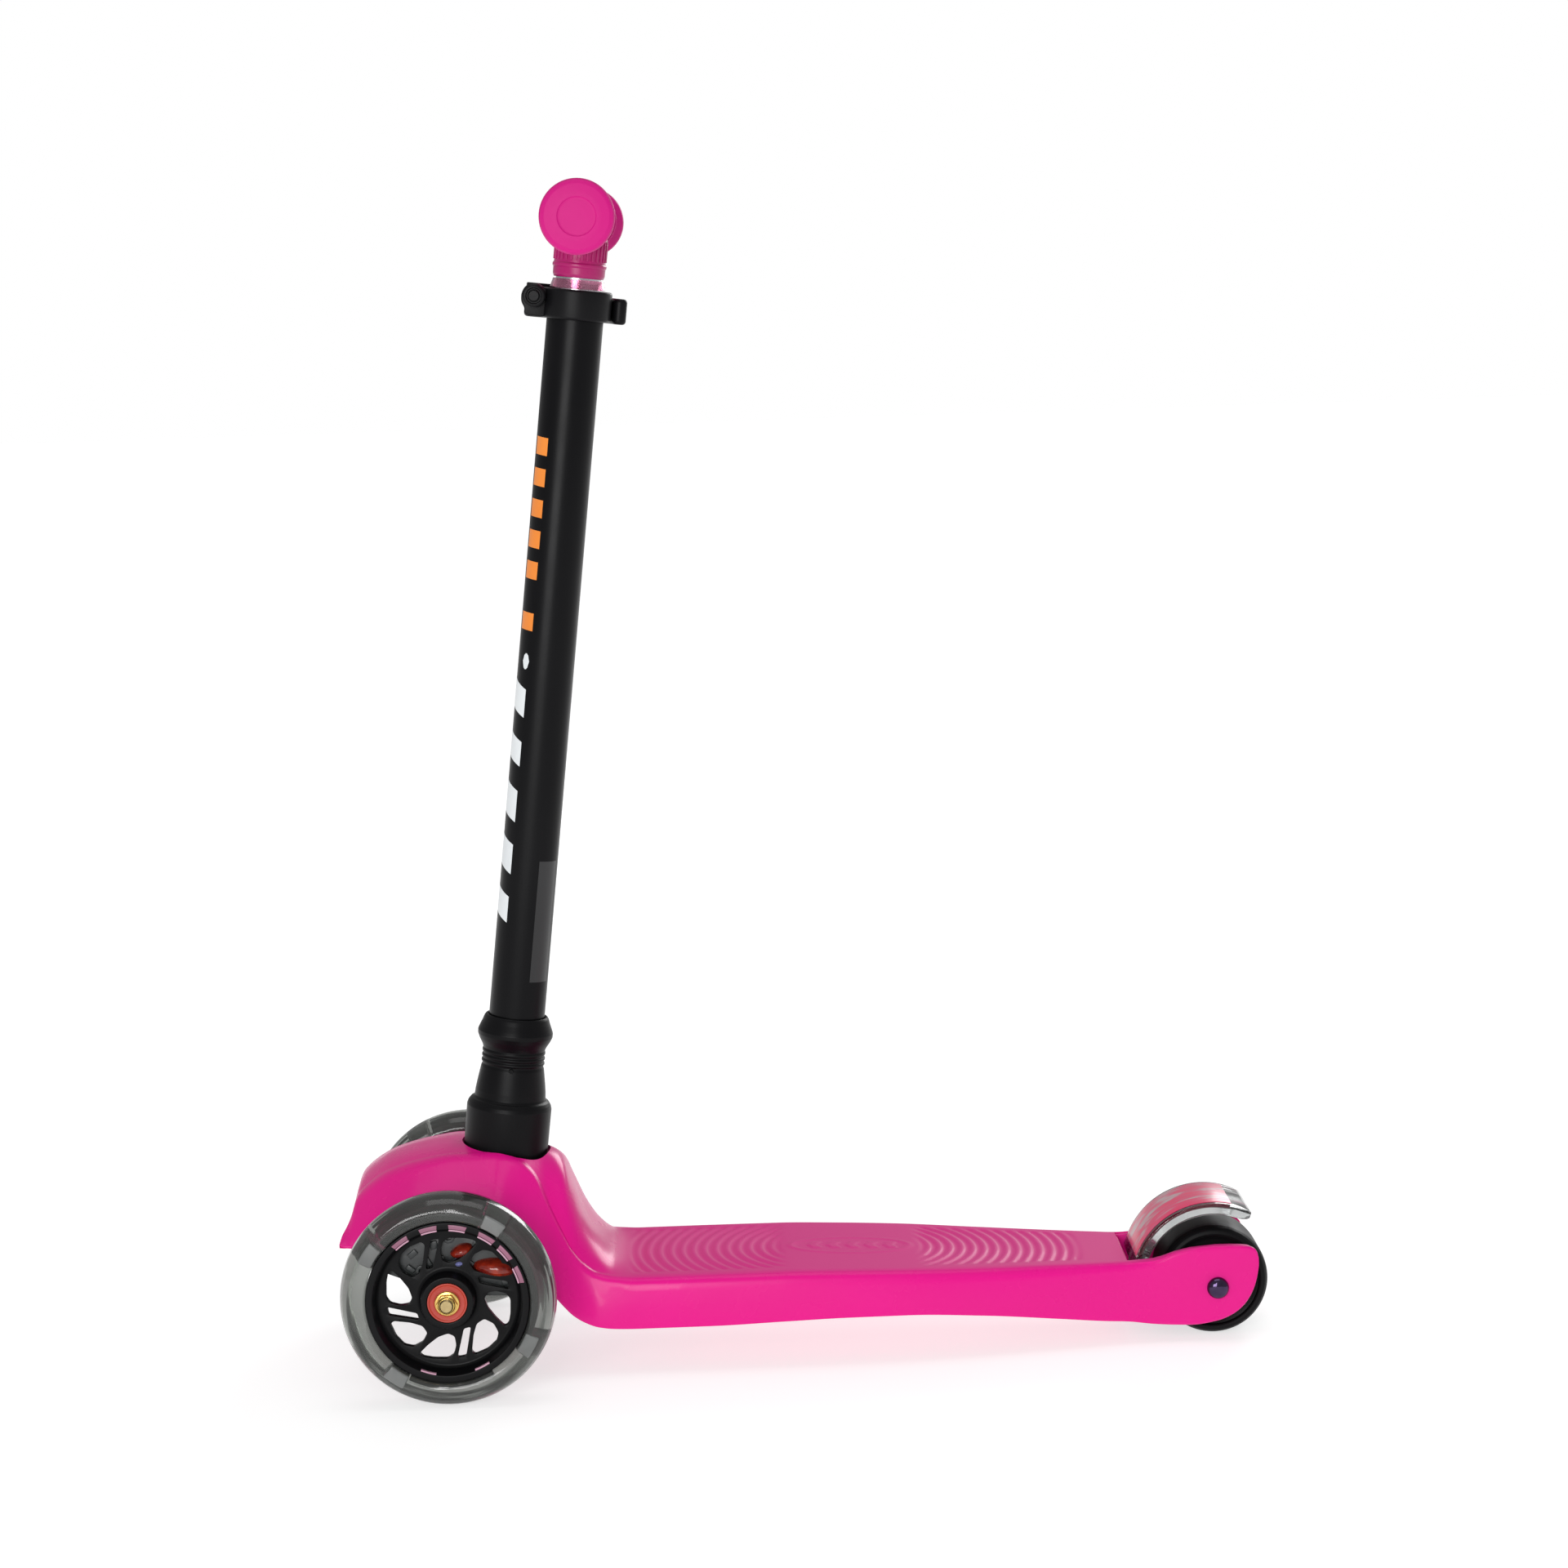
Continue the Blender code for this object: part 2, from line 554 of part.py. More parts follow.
def handlebar():
    bar_s = HANDLEBAR_S
    top = bar_s - 14.8
    neck = ((0, bar_s - 6), (14.6, bar_s - 6), (14.6, 626), (13.9, 622), (12.95, 620.6), (12.95, top), (0, top))
    boss = baked(lathe("t_joint", neck, 24, closed=False))
    shell = baked(rod("shell", 15.5, -21, 21, 1.5, 24))
    shell.data.transform(Matrix.Translation((0, 0, bar_s * MM)) @ ALONG_Y)
    bore = baked(rod("bore", 11.2, -40, 40, 0, 24))
    bore.data.transform(Matrix.Translation((0, 0, bar_s * MM)) @ ALONG_Y)
    joint = cut(joined(boss, shell), bore)
    finish(joint, "pink", stem_frame)

    skirt = lathe("t_joint_skirt", ((13.0, 619.9), (14.5, 619.9), (15.7, 614.7), (14.2, 614.7)), 28)
    finish(skirt, "clear_pink", stem_frame)

    bar = ring("crossbar", 9.4, 10.9, -117, 117, 28)
    place(bar, (0, 0, bar_s), ALONG_Y)
    finish(bar, "steel", stem_frame)

    profile = (
        (0, 117.4), (11.2, 117.4), (11.2, 21.4), (18.0, 21.4), (18.0, 24.0), (14.4, 28), (14.8, 70), (14.4, 111),
        (19.8, 117.0), (20.3, 120.4), (18.0, 123.6), (11.0, 124.4), (0, 125),
    )
    for word, turn in (("left", ALONG_Y), ("right", HALF_TURN @ ALONG_Y)):
        grip = lathe(f"grip_{word}", profile, 24, closed=False)
        place(grip, (0, 0, bar_s), turn)
        finish(grip, "pink_rubber", stem_frame)


# ---- front wheels, knuckles and tie rod


def teardrop(angle, mirrored):
    """One swirl opening in the hub web beside a slit, as (x, y) points."""
    lean = 1 if mirrored else -1
    points = [(18.0, 3.0), (36.5, 4.0), (37.0, 8.0), (32.0, 14.0), (25.0, 12.5)]
    turned = []
    for x, y in points:
        turned.append(
            (
                x * math.cos(angle) - lean * y * math.sin(angle),
                x * math.sin(angle) + lean * y * math.cos(angle),
            )
        )
    return turned if mirrored else turned[::-1]


def slit(angle):
    half = 1.1
    corners = ((19.0, -half), (36.0, -half - 0.5), (36.0, half + 0.5), (19.0, half))
    return [
        (x * math.cos(angle) - y * math.sin(angle), x * math.sin(angle) + y * math.cos(angle)) for x, y in corners
    ]


def hub_core():
    """The black wheel core: rim, web with swirl openings and a barrel with two bearing seats."""
    seat = BEARING["outer"] + 0.15
    profile = (
        (9.0, -5.2), (seat, -5.2), (seat, -12.5), (14.5, -12.5), (16.0, -3.4), (39.5, -3.4), (41.5, -12.0),
        (45.2, -12.0), (45.2, 12.0), (41.5, 12.0), (39.5, 3.4), (16.0, 3.4), (14.5, 12.5), (seat, 12.5),
        (seat, 5.2), (9.0, 5.2),
    )
    core = baked(lathe("hub_core", profile, 24))
    for quarter in range(4):
        middle = math.radians(18 + 90 * quarter)
        for outline in (teardrop(middle, True), slit(middle), teardrop(middle, False)):
            core = cut(core, slab("window", outline, -20, 20))
    return core


def tyre_profile():
    return (
        (45.6, -12.0), (49.0, -14.0), (54.5, -12.6), (58.6, -8.0), (60.0, 0.0), (58.6, 8.0), (54.5, 12.6),
        (49.0, 14.0), (45.6, 12.0),
    )


def knuckle(side):
    """Steering knuckle: kingpin boss, stub towards the wheel and an arm back to the tie rod."""
    boss = baked(rod("boss", 9.2, 46.0, 75.5, 0.8, 20))
    stub = baked(rod("stub", 8.2, 0, 30.0, 0.5, 16))
    stub.data.transform(Matrix.Translation((0, 0, AXLE_Z * MM)) @ ALONG_Y)
    outline = ((-STEER_ARM, 6), (-6, 8.5), (-2, 0), (-6, -8.5), (-STEER_ARM, -6), (-STEER_ARM - 5, 0))
    made = joined(boss, stub, slab("arm", outline, 62.5, 67.5))
    kingpin_bore = baked(rod("kingpin_bore", 4.3, 30, 90, 0, 16))
    axle_bore = baked(rod("axle_bore", 4.2, 10.5, 50, 0, 16))
    axle_bore.data.transform(Matrix.Translation((0, 0, AXLE_Z * MM)) @ ALONG_Y)
    rod_hole = baked(rod("rod_hole", 3.4, 50, 80, 0, 16))
    rod_hole.data.transform(Matrix.Translation((-STEER_ARM * MM, 0, 0)))
    made = cut(made, kingpin_bore, axle_bore, rod_hole)
    if side < 0:
        made.data.transform(Matrix.Diagonal((1, -1, 1, 1)))
        made.data.flip_normals()
    return made


def front_corner(side, word, core):
    """Everything at one front wheel: kingpin, knuckle, bolt, nut, core, tyre and bearings."""
    turn = ALONG_Y if side > 0 else HALF_TURN @ ALONG_Y
    outward = side * TRACK_HALF
    pin = rod(f"kingpin_{word}", 4.0, 40.5, 81.5, 0.5, 16)
    place(pin, (0, side * KINGPIN_Y, 0))
    finish(pin, "steel", front_frame)
    made = knuckle(side)
    made.name = f"knuckle_{word}"
    place(made, (0, side * KINGPIN_Y, 0))
    finish(made, "black", front_frame)
    bolt = lathe(f"wheel_bolt_{word}", ((0, -32.2), (3.95, -32.2), (3.95, 19.4), (3.2, 20.5), (0, 20.5)), 16, closed=False)
    place(bolt, (0, outward, AXLE_Z), turn)
    finish(bolt, "steel", front_frame)
    nut = lathe(f"wheel_nut_{word}", ((4.9, 12.7), (7.6, 12.7), (7.6, 17.4), (6.9, 18.9), (4.9, 18.9)), 6)
    place(nut, (0, outward, AXLE_Z), turn)
    finish(nut, "brass", front_frame)
    hub = bpy.data.objects.new(f"front_hub_{word}", core.data)
    place(hub, (0, outward, AXLE_Z), turn)
    finish(hub, "black", front_frame)
    tyre = lathe(f"front_tyre_{word}", tyre_profile(), 44)
    place(tyre, (0, outward, AXLE_Z), turn)
    finish(tyre, "clear", front_frame)
    low, high = BEARING["bore"], BEARING["outer"]
    for place_word, start in (("outer", 5.4), ("inner", -12.4)):
        race = ring(f"front_bearing_{place_word}_{word}", low, high, start, start + BEARING["width"], 20)
        place(race, (0, outward, AXLE_Z), turn)
        finish(race, "red" if place_word == "outer" else "steel", front_frame)
    magnet = ring(f"light_magnet_{word}", 4.3, 8.6, -5.0, 5.0, 16)
    place(magnet, (0, outward, AXLE_Z), turn)
    finish(magnet, "dark_chrome", front_frame)


def tie_rod():
    """The cross link: a flat bar with a pin at each end and a fork for the column's finger."""
    end = KINGPIN_Y + 3.4
    bar = baked(block("tie_rod", (-STEER_ARM - 4, -end, 68.2), (-STEER_ARM + 4, end, 73.2), 0.8))
    for side in (1, -1):
        pin = baked(rod("pin", 2.6, 63.2, 70.0, 0.3, 16))
        pin.data.transform(Matrix.Translation((-STEER_ARM * MM, side * KINGPIN_Y * MM, 0)))
        bar = joined(bar, pin)
    pad = baked(block("pad", (-STEER_ARM - 8.5, -13, 68.6), (-STEER_ARM + 8.5, 13, 72.8), 0.6))
    slot = block("slot", (-STEER_ARM - 5.2, -4.9, 60), (-STEER_ARM + 5.2, 4.9, 80))
    bar = cut(joined(bar, pad), slot)
    finish(bar, "steel", front_frame)


# ---- rear wheel, brake fender


def rear_wheel():
    seat = BEARING["outer"] + 0.15
    half = REAR_HALF_W
    core = (
        (8.0, -half + 7.8), (seat, -half + 7.8), (seat, -half), (15.0, -half), (17.0, -half + 3), (26.0, -half + 3),
        (26.0, half - 3), (17.0, half - 3), (15.0, half), (seat, half), (seat, half - 7.8), (8.0, half - 7.8),
    )
    finish(lathe("rear_hub", core, 28), "black", rear_frame)
    r = REAR_WHEEL_R
    tread = (
        (26.4, -half + 1.5), (28.4, -half), (r - 1.4, -half + 1.2), (r, -half + 6), (r, half - 6),
        (r - 1.4, half - 1.2), (28.4, half), (26.4, half - 1.5),
    )
    finish(lathe("rear_tyre", tread, 40), "black", rear_frame)
    for word, start in (("right", -half + 0.3), ("left", half - 7.3)):
        race = ring(f"rear_bearing_{word}", BEARING["bore"], BEARING["outer"], start, start + 7.0, 20)
        finish(race, "steel", rear_frame)
    for word, low, high in (("right", -ARM_INNER_Y + GAP, -half - GAP), ("left", half + GAP, ARM_INNER_Y - GAP)):
        finish(ring(f"rear_spacer_{word}", 4.25, 6.6, low, high, 20), "steel", rear_frame)
    outer = ARM_INNER_Y + ARM_THICK
    dome = ((0, -outer - 1.5), (3.95, -outer - 1.5), (3.95, outer + 0.4), (6.3, outer + 0.4), (6.2, outer + 1.6))
    dome += ((4.8, outer + 3.8), (2.6, outer + 4.9), (0, outer + 5.2))
    finish(lathe("rear_axle_bolt", dome, 20, closed=False), "dark_chrome", rear_frame)
    cap = ((0, -outer - 2.0), (4.2, -outer - 2.0), (4.2, -outer - 0.4), (6.3, -outer - 0.4), (6.2, -outer - 1.8))
    cap += ((4.8, -outer - 4.0), (2.6, -outer - 5.0), (0, -outer - 5.4))
    finish(lathe("rear_axle_nut", cap, 20, closed=False), "dark_chrome", rear_frame)


def fender_shape(name, inner, outer, start, stop, half_width, count=15):
    """A curved strip over the rear wheel, between two radii."""
    outline = arc(FENDER_CENTRE, outer, start, stop, count) + arc(FENDER_CENTRE, inner, stop, start, count)
    strip = slab(name, outline, -half_width, half_width)
    strip.data.transform(UPRIGHT)
    return strip


def brake_fender():
    """Clear fender: a hooped strip, flatter behind, with a hinge barrel in front."""
    hoop = fender_shape("brake_fender", FENDER_IN, FENDER_OUT, 17, 112, 28)
    outline = arc(FENDER_CENTRE, FENDER_OUT, 106, 110, 2) + [(-456.6, 71.2), (-455.8, 69.4)]
    outline += arc(FENDER_CENTRE, FENDER_IN, 110, 106, 2)
    toe = slab("toe", outline, -26, 26)
    toe.data.transform(UPRIGHT)
    barrel = baked(rod("barrel", 4.3, -27.6, 27.6, 0.3, 20))
    barrel.data.transform(Matrix.Translation((FENDER_PIN[0] * MM, 0, FENDER_PIN[1] * MM)) @ ALONG_Y)
    fender = joined(hoop, toe, barrel)
    hole = baked(rod("hole", 2.35, -40, 40, 0, 16))
    hole.data.transform(Matrix.Translation((FENDER_PIN[0] * MM, 0, FENDER_PIN[1] * MM)) @ ALONG_Y)
    notch = block("notch", (-400, -7.5, 34), (-384, 7.5, 49.0))
    fender = cut(fender, hole, notch)
    finish(fender, "clear", front_frame)
    finish(fender_shape("fender_inlay", 42.9, 44.1, 36, 104, 24, 12), "clear_pink", front_frame)
    pin = rod("fender_pin", 2.0, -33.0, 33.0, 0.3, 16)
    place(pin, (FENDER_PIN[0], 0, FENDER_PIN[1]), ALONG_Y)
    finish(pin, "steel", front_frame)
    fender_spring()


def fender_spring():
    """Torsion spring round the fender pin, with one leg down the deck's rear wall."""
    turns, per_turn, radius, wire = 3.5, 8, 3.1, 0.55
    count = int(turns * per_turn)
    points = [(-386.6, -5.6, 30.0), (-388.6, -5.6, 36.0)]
    for i in range(count + 1):
        angle = math.tau * i / per_turn
        y = -5.6 + 11.2 * i / count
        points.append((FENDER_PIN[0] + radius * math.cos(angle), y, FENDER_PIN[1] + radius * math.sin(angle)))
    curve = bpy.data.curves.new("fender_spring", "CURVE")
    curve.dimensions = "3D"
    curve.bevel_depth = wire * MM
    curve.bevel_resolution = 1
    curve.use_fill_caps = True
    line = curve.splines.new("POLY")
    line.points.add(len(points) - 1)
    for point, (x, y, z) in zip(line.points, points):
        point.co = (x * MM, y * MM, z * MM, 1)
    spring = bpy.data.objects.new("fender_spring", curve)
    spring.parent = front_frame
    add(spring, "steel")


deck_body()
chassis_pan()
lean_axle()
screws()
centring_pucks()
steering_column()
tubes()
clamp()
handlebar()
shared_core = hub_core()
for corner_side, corner_word in ((1, "left"), (-1, "right")):
    front_corner(corner_side, corner_word, shared_core)
bpy.data.objects.remove(shared_core)
tie_rod()
rear_wheel()
brake_fender()
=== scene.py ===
"""Looks of the three-wheeled kick scooter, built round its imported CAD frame.

Lengths are in millimetres and become metres in the helpers. X runs forward and is counted from the
front axle, Y runs to the rider's left, Z up from the ground. The stem has its own frame: X across it
towards the front, Z along it.
"""

import math

import bmesh
import bpy
import numpy as np
from mathutils import Matrix, Vector


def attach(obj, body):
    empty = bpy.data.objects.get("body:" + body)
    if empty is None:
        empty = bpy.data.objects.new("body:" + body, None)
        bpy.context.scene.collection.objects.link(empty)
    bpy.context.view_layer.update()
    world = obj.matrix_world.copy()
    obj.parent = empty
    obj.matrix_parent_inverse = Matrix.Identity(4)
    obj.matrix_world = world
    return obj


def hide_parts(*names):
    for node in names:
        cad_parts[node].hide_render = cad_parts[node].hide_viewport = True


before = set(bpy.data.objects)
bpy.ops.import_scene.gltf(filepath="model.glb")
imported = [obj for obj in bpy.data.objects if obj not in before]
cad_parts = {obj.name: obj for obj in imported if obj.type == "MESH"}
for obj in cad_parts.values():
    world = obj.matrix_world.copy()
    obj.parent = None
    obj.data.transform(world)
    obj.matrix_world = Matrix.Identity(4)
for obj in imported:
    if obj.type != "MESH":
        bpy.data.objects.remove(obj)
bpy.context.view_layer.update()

MM = 0.001
FRONT_AXLE_X = 202.4
REAR_AXLE_X = -435.0
REAR_WHEEL_R = 31.8
REAR_HALF_W = 22.0
AXLE_Z = 60.0
TRACK_HALF = 105.0
RAKE = math.radians(6.95)
STEM_FOOT_X = -14.3
LEAN_Z = 98.0
STEER_ARM = 38.0
BAR_S = 653.4
TUBE_R = 16.0
CLAMP_BOLT = (23.6, 608.8)
LEVER_PIVOT_Y = -16.6
FENDER_CENTRE = (-433.8, 31.8)
FENDER_PIN = (-392.5, 42.5)
FENDER_IN, FENDER_OUT = 44.4, 46.9
SHELL = 3.0

FRONT = Matrix.Translation((FRONT_AXLE_X * MM, 0, 0))
STEM = Matrix.Translation(((FRONT_AXLE_X + STEM_FOOT_X) * MM, 0, 0)) @ Matrix.Rotation(-RAKE, 4, "Y")
ALONG_X = Matrix.Rotation(math.pi / 2, 4, "Y")
ALONG_Y = Matrix.Rotation(-math.pi / 2, 4, "X")
UPRIGHT = Matrix.Rotation(math.pi / 2, 4, "X")
HALF_TURN = Matrix.Rotation(math.pi, 4, "Z")


def shift(x, y, z):
    """A move in millimetres, as a matrix."""
    return Matrix.Translation((x * MM, y * MM, z * MM))


def about_z(degrees):
    return Matrix.Rotation(math.radians(degrees), 4, "Z")


REAR = shift(FRONT_AXLE_X + REAR_AXLE_X, 0, REAR_WHEEL_R) @ ALONG_Y


# ---- materials


def new_material(name, base, roughness, metallic=0.0, **sockets):
    """A Principled material; sockets are its inputs by name, with underscores for spaces."""
    mat = bpy.data.materials.new(name)
    mat.use_nodes = True
    shader = mat.node_tree.nodes["Principled BSDF"]
    shader.inputs["Base Color"].default_value = (*base, 1.0)
    shader.inputs["Roughness"].default_value = roughness
    shader.inputs["Metallic"].default_value = metallic
    for key, value in sockets.items():
        shader.inputs[key.replace("_", " ")].default_value = value
    return mat


def noise(mat, scale, detail=3.0, stretch=(1.0, 1.0, 1.0)):
    """Noise in the piece's own coordinates, in features per metre."""
    nodes, links = mat.node_tree.nodes, mat.node_tree.links
    where = nodes.new("ShaderNodeTexCoord")
    turn = nodes.new("ShaderNodeMapping")
    turn.inputs["Scale"].default_value = stretch
    made = nodes.new("ShaderNodeTexNoise")
    made.inputs["Scale"].default_value = scale
    made.inputs["Detail"].default_value = detail
    links.new(where.outputs["Object"], turn.inputs["Vector"])
    links.new(turn.outputs["Vector"], made.inputs["Vector"])
    return made.outputs["Fac"]


def vary_colour(mat, first, second, fac, low=0.3, high=0.7):
    """Mixes two colours by a pattern, spread between its low and high values."""
    nodes, links = mat.node_tree.nodes, mat.node_tree.links
    ramp = nodes.new("ShaderNodeValToRGB")
    ramp.color_ramp.elements[0].position = low
    ramp.color_ramp.elements[0].color = (*first, 1.0)
    ramp.color_ramp.elements[1].position = high
    ramp.color_ramp.elements[1].color = (*second, 1.0)
    links.new(fac, ramp.inputs["Fac"])
    links.new(ramp.outputs["Color"], nodes["Principled BSDF"].inputs["Base Color"])
    return ramp


def rescaled(mat, value, from_low, from_high, to_low=0.0, to_high=1.0):
    """A value moved linearly from one range to another, and held at its ends."""
    made = mat.node_tree.nodes.new("ShaderNodeMapRange")
    ends = {"From Min": from_low, "From Max": from_high, "To Min": to_low, "To Max": to_high}
    for key, end in ends.items():
        made.inputs[key].default_value = end
    mat.node_tree.links.new(value, made.inputs["Value"])
    return made.outputs["Result"]


def vary_roughness(mat, low, high, fac):
    spread = rescaled(mat, fac, 0.0, 1.0, low, high)
    mat.node_tree.links.new(spread, mat.node_tree.nodes["Principled BSDF"].inputs["Roughness"])


def bump(mat, fac, strength, depth):
    """Fine surface relief, depth in millimetres."""
    nodes, links = mat.node_tree.nodes, mat.node_tree.links
    made = nodes.new("ShaderNodeBump")
    made.inputs["Strength"].default_value = strength
    made.inputs["Distance"].default_value = depth * MM
    links.new(fac, made.inputs["Height"])
    links.new(made.outputs["Normal"], nodes["Principled BSDF"].inputs["Normal"])


def moulded(name, base, second, roughness, grain=900.0, relief=0.03, **sockets):
    """Moulded plastic or paint: a slow drift of colour, uneven gloss and a fine skin."""
    mat = new_material(name, base, roughness, **sockets)
    vary_colour(mat, base, second, noise(mat, 9.0, 2.0))
    vary_roughness(mat, roughness - 0.06, roughness + 0.08, noise(mat, 45.0, 4.0))
    bump(mat, noise(mat, grain, 2.0), 0.35, relief)
    return mat


def metal(name, base, second, roughness, stretch=(1.0, 1.0, 1.0)):
    """Turned or plated metal: fine brushing and a little tarnish."""
    mat = new_material(name, base, roughness, 1.0)
    vary_colour(mat, base, second, noise(mat, 140.0, 4.0))
    vary_roughness(mat, roughness - 0.08, roughness + 0.12, noise(mat, 700.0, 3.0, stretch))
    bump(mat, noise(mat, 1500.0, 2.0, stretch), 0.2, 0.01)
    return mat


def clear_plastic(name, base, second, roughness, clarity=1.0):
    """See-through plastic with faint flow marks; less clarity makes it milky."""
    mat = new_material(name, base, roughness, Transmission_Weight=clarity, IOR=1.44)
    vary_colour(mat, base, second, noise(mat, 30.0, 3.0))
    vary_roughness(mat, roughness, roughness + 0.09, noise(mat, 120.0, 3.0))
    bump(mat, noise(mat, 260.0, 2.0), 0.12, 0.05)
    return mat


PINK = (0.76, 0.0045, 0.25)
PINK_WARM = (0.71, 0.008, 0.225)
# Greyer pink painted on the deck's upward faces: painted sheen from grazing light.
TREAD_SHEEN_PINK = (0.70, 0.032, 0.25, 1.0)
TREAD_ROUGHNESS = 0.6
TREAD_UPWARDS = (0.86, 0.97)  # how far up a face looks where the dull treads and their painted sheen fade in and are full
TREAD_FROM = ((FRONT_AXLE_X - 80) * MM, (FRONT_AXLE_X - 95) * MM)


def axis_value(mat, vector, axis):
    split = mat.node_tree.nodes.new("ShaderNodeSeparateXYZ")
    mat.node_tree.links.new(vector, split.inputs["Vector"])
    return split.outputs[axis]


def blend_input(mat, key, kind, fac, value):
    """Mixes what feeds one of the shader's inputs with a fixed value."""
    nodes, links = mat.node_tree.nodes, mat.node_tree.links
    socket = nodes["Principled BSDF"].inputs[key]
    mix = nodes.new("ShaderNodeMix")
    mix.data_type = kind
    links.new(fac, mix.inputs["Factor"])
    links.new(socket.links[0].from_socket, mix.inputs["A"])
    mix.inputs["B"].default_value = value
    links.new(mix.outputs["Result"], socket)


def body_plastic():
    """Glossy pink on the sides; the treads on top are rougher, and greyer there as painted sheen from light
    grazing the upward faces.
    """
    gloss = {"Specular_IOR_Level": 0.16, "Coat_Weight": 0.05}
    mat = moulded("pink_moulding", PINK, PINK_WARM, 0.26, 700.0, 0.02, **gloss)
    nodes, links = mat.node_tree.nodes, mat.node_tree.links
    normal = nodes.new("ShaderNodeNewGeometry").outputs["Normal"]
    facing_up = rescaled(mat, axis_value(mat, normal, "Z"), *TREAD_UPWARDS)
    place = nodes.new("ShaderNodeTexCoord").outputs["Object"]
    behind_hump = rescaled(mat, axis_value(mat, place, "X"), *TREAD_FROM)
    tread = nodes.new("ShaderNodeMath")
    tread.operation = "MULTIPLY"
    links.new(facing_up, tread.inputs[0])
    links.new(behind_hump, tread.inputs[1])
    # Painted sheen: upward faces behind the hump turn a greyer pink, standing in for light grazing the deck
    # top.
    blend_input(mat, "Base Color", "RGBA", tread.outputs["Value"], TREAD_SHEEN_PINK)
    blend_input(mat, "Roughness", "FLOAT", tread.outputs["Value"], TREAD_ROUGHNESS)
    return mat


BODY_PINK = body_plastic()
GRIP_PINK = moulded(
    "pink_rubber_grip", (0.56, 0.004, 0.19), (0.48, 0.006, 0.165), 0.5, 1100.0, 0.05, Specular_IOR_Level=0.2
)
JOINT_PINK = moulded(
    "pink_joint", (0.46, 0.008, 0.15), (0.36, 0.009, 0.12), 0.3, 800.0, 0.02, Specular_IOR_Level=0.3
)
DULL = {"Specular_IOR_Level": 0.12}
NEAR_BLACK = (0.0028, 0.0028, 0.0034)
BLACK = moulded("black_plastic", NEAR_BLACK, (0.0056, 0.0056, 0.0064), 0.38, 1200.0, 0.04, **DULL)
HUB_BLACK = moulded(
    "black_hub", (0.0028, 0.0028, 0.0032), (0.006, 0.006, 0.0066), 0.34, 1000.0, 0.03, **DULL
)
SATIN = moulded(
    "black_satin_paint", (0.0018, 0.0018, 0.0024), (0.0036, 0.0036, 0.0044), 0.33, 1600.0, 0.02, **DULL
)
RUBBER = moulded("black_tyre", NEAR_BLACK, (0.0056, 0.0056, 0.0062), 0.46, 900.0, 0.04, **DULL)
CLEAR_TYRE = clear_plastic("smoky_clear_tyre", (0.34, 0.355, 0.333), (0.22, 0.23, 0.215), 0.05, 0.9)
CLEAR_LENS = clear_plastic("clear_fender_plastic", (0.52, 0.53, 0.53), (0.38, 0.39, 0.39), 0.05)
CLEAR_PINK = clear_plastic("clear_pink_skirt", (0.95, 0.62, 0.74), (0.92, 0.45, 0.62), 0.12)
WINDOW = clear_plastic("frosted_window", (0.34, 0.35, 0.345), (0.22, 0.23, 0.225), 0.14, 0.5)
# Painted reflection: the clear lugs in the upper rim slots are drawn as opaque pink plates, coloured with
# the pink body's reflection.
SLOT_REFLECTED_PINK = moulded("rim_window_painted_reflection", (0.30, 0.10, 0.17), (0.16, 0.075, 0.11), 0.3, 400.0, 0.06)
SLOT_EDGE = moulded("rim_window_edge", (0.56, 0.32, 0.42), (0.36, 0.17, 0.25), 0.25, 400.0, 0.06)
STEEL = metal("zinc_steel", (0.58, 0.58, 0.60), (0.46, 0.46, 0.48), 0.34)
SILVER = metal("silver_tube", (0.62, 0.62, 0.64), (0.52, 0.52, 0.55), 0.24, (1.0, 1.0, 8.0))
DARK_CHROME = metal("dark_chrome", (0.085, 0.058, 0.12), (0.05, 0.034, 0.072), 0.12)
GOLD = metal("brass_nut", (0.85, 0.60, 0.18), (0.62, 0.40, 0.12), 0.24)
SEAL_RED = moulded("bearing_seal_red", (0.50, 0.048, 0.026), (0.30, 0.024, 0.018), 0.38, 700.0, 0.05)
BRASS_BOLT = metal("brass_bolt_end", (0.50, 0.40, 0.20), (0.30, 0.20, 0.09), 0.3)
DARK_STEEL = metal("dark_steel", (0.035, 0.035, 0.04), (0.02, 0.02, 0.022), 0.34)
PUCK_RED = moulded("red_rubber", (0.5, 0.03, 0.02), (0.4, 0.02, 0.02), 0.5, 700.0, 0.05)
NYLON = moulded("bush_nylon", (0.62, 0.61, 0.57), (0.54, 0.53, 0.5), 0.45, 600.0, 0.03)
CIRCUIT = moulded("dark_circuit", (0.008, 0.012, 0.010), (0.03, 0.032, 0.036), 0.3, 320.0, 0.2)
LED_RED = new_material("led_red_lens", (0.78, 0.05, 0.015), 0.12, Transmission_Weight=0.35)
vary_colour(LED_RED, (0.50, 0.04, 0.014), (0.16, 0.009, 0.008), noise(LED_RED, 190.0))
LED_BLUE = new_material("led_blue_lens", (0.20, 0.22, 0.55), 0.15, Transmission_Weight=0.3)
vary_colour(LED_BLUE, (0.28, 0.28, 0.60), (0.10, 0.12, 0.32), noise(LED_BLUE, 200.0))
MARK_ORANGE = moulded("orange_print", (0.84, 0.27, 0.03), (0.74, 0.2, 0.02), 0.35, 800.0, 0.01)
MARK_WHITE = moulded("white_print", (0.74, 0.77, 0.78), (0.66, 0.69, 0.71), 0.35, 800.0, 0.01)
STICKER = moulded("dark_grey_sticker", (0.006, 0.006, 0.007), (0.012, 0.012, 0.0135), 0.3, 800.0, 0.01)


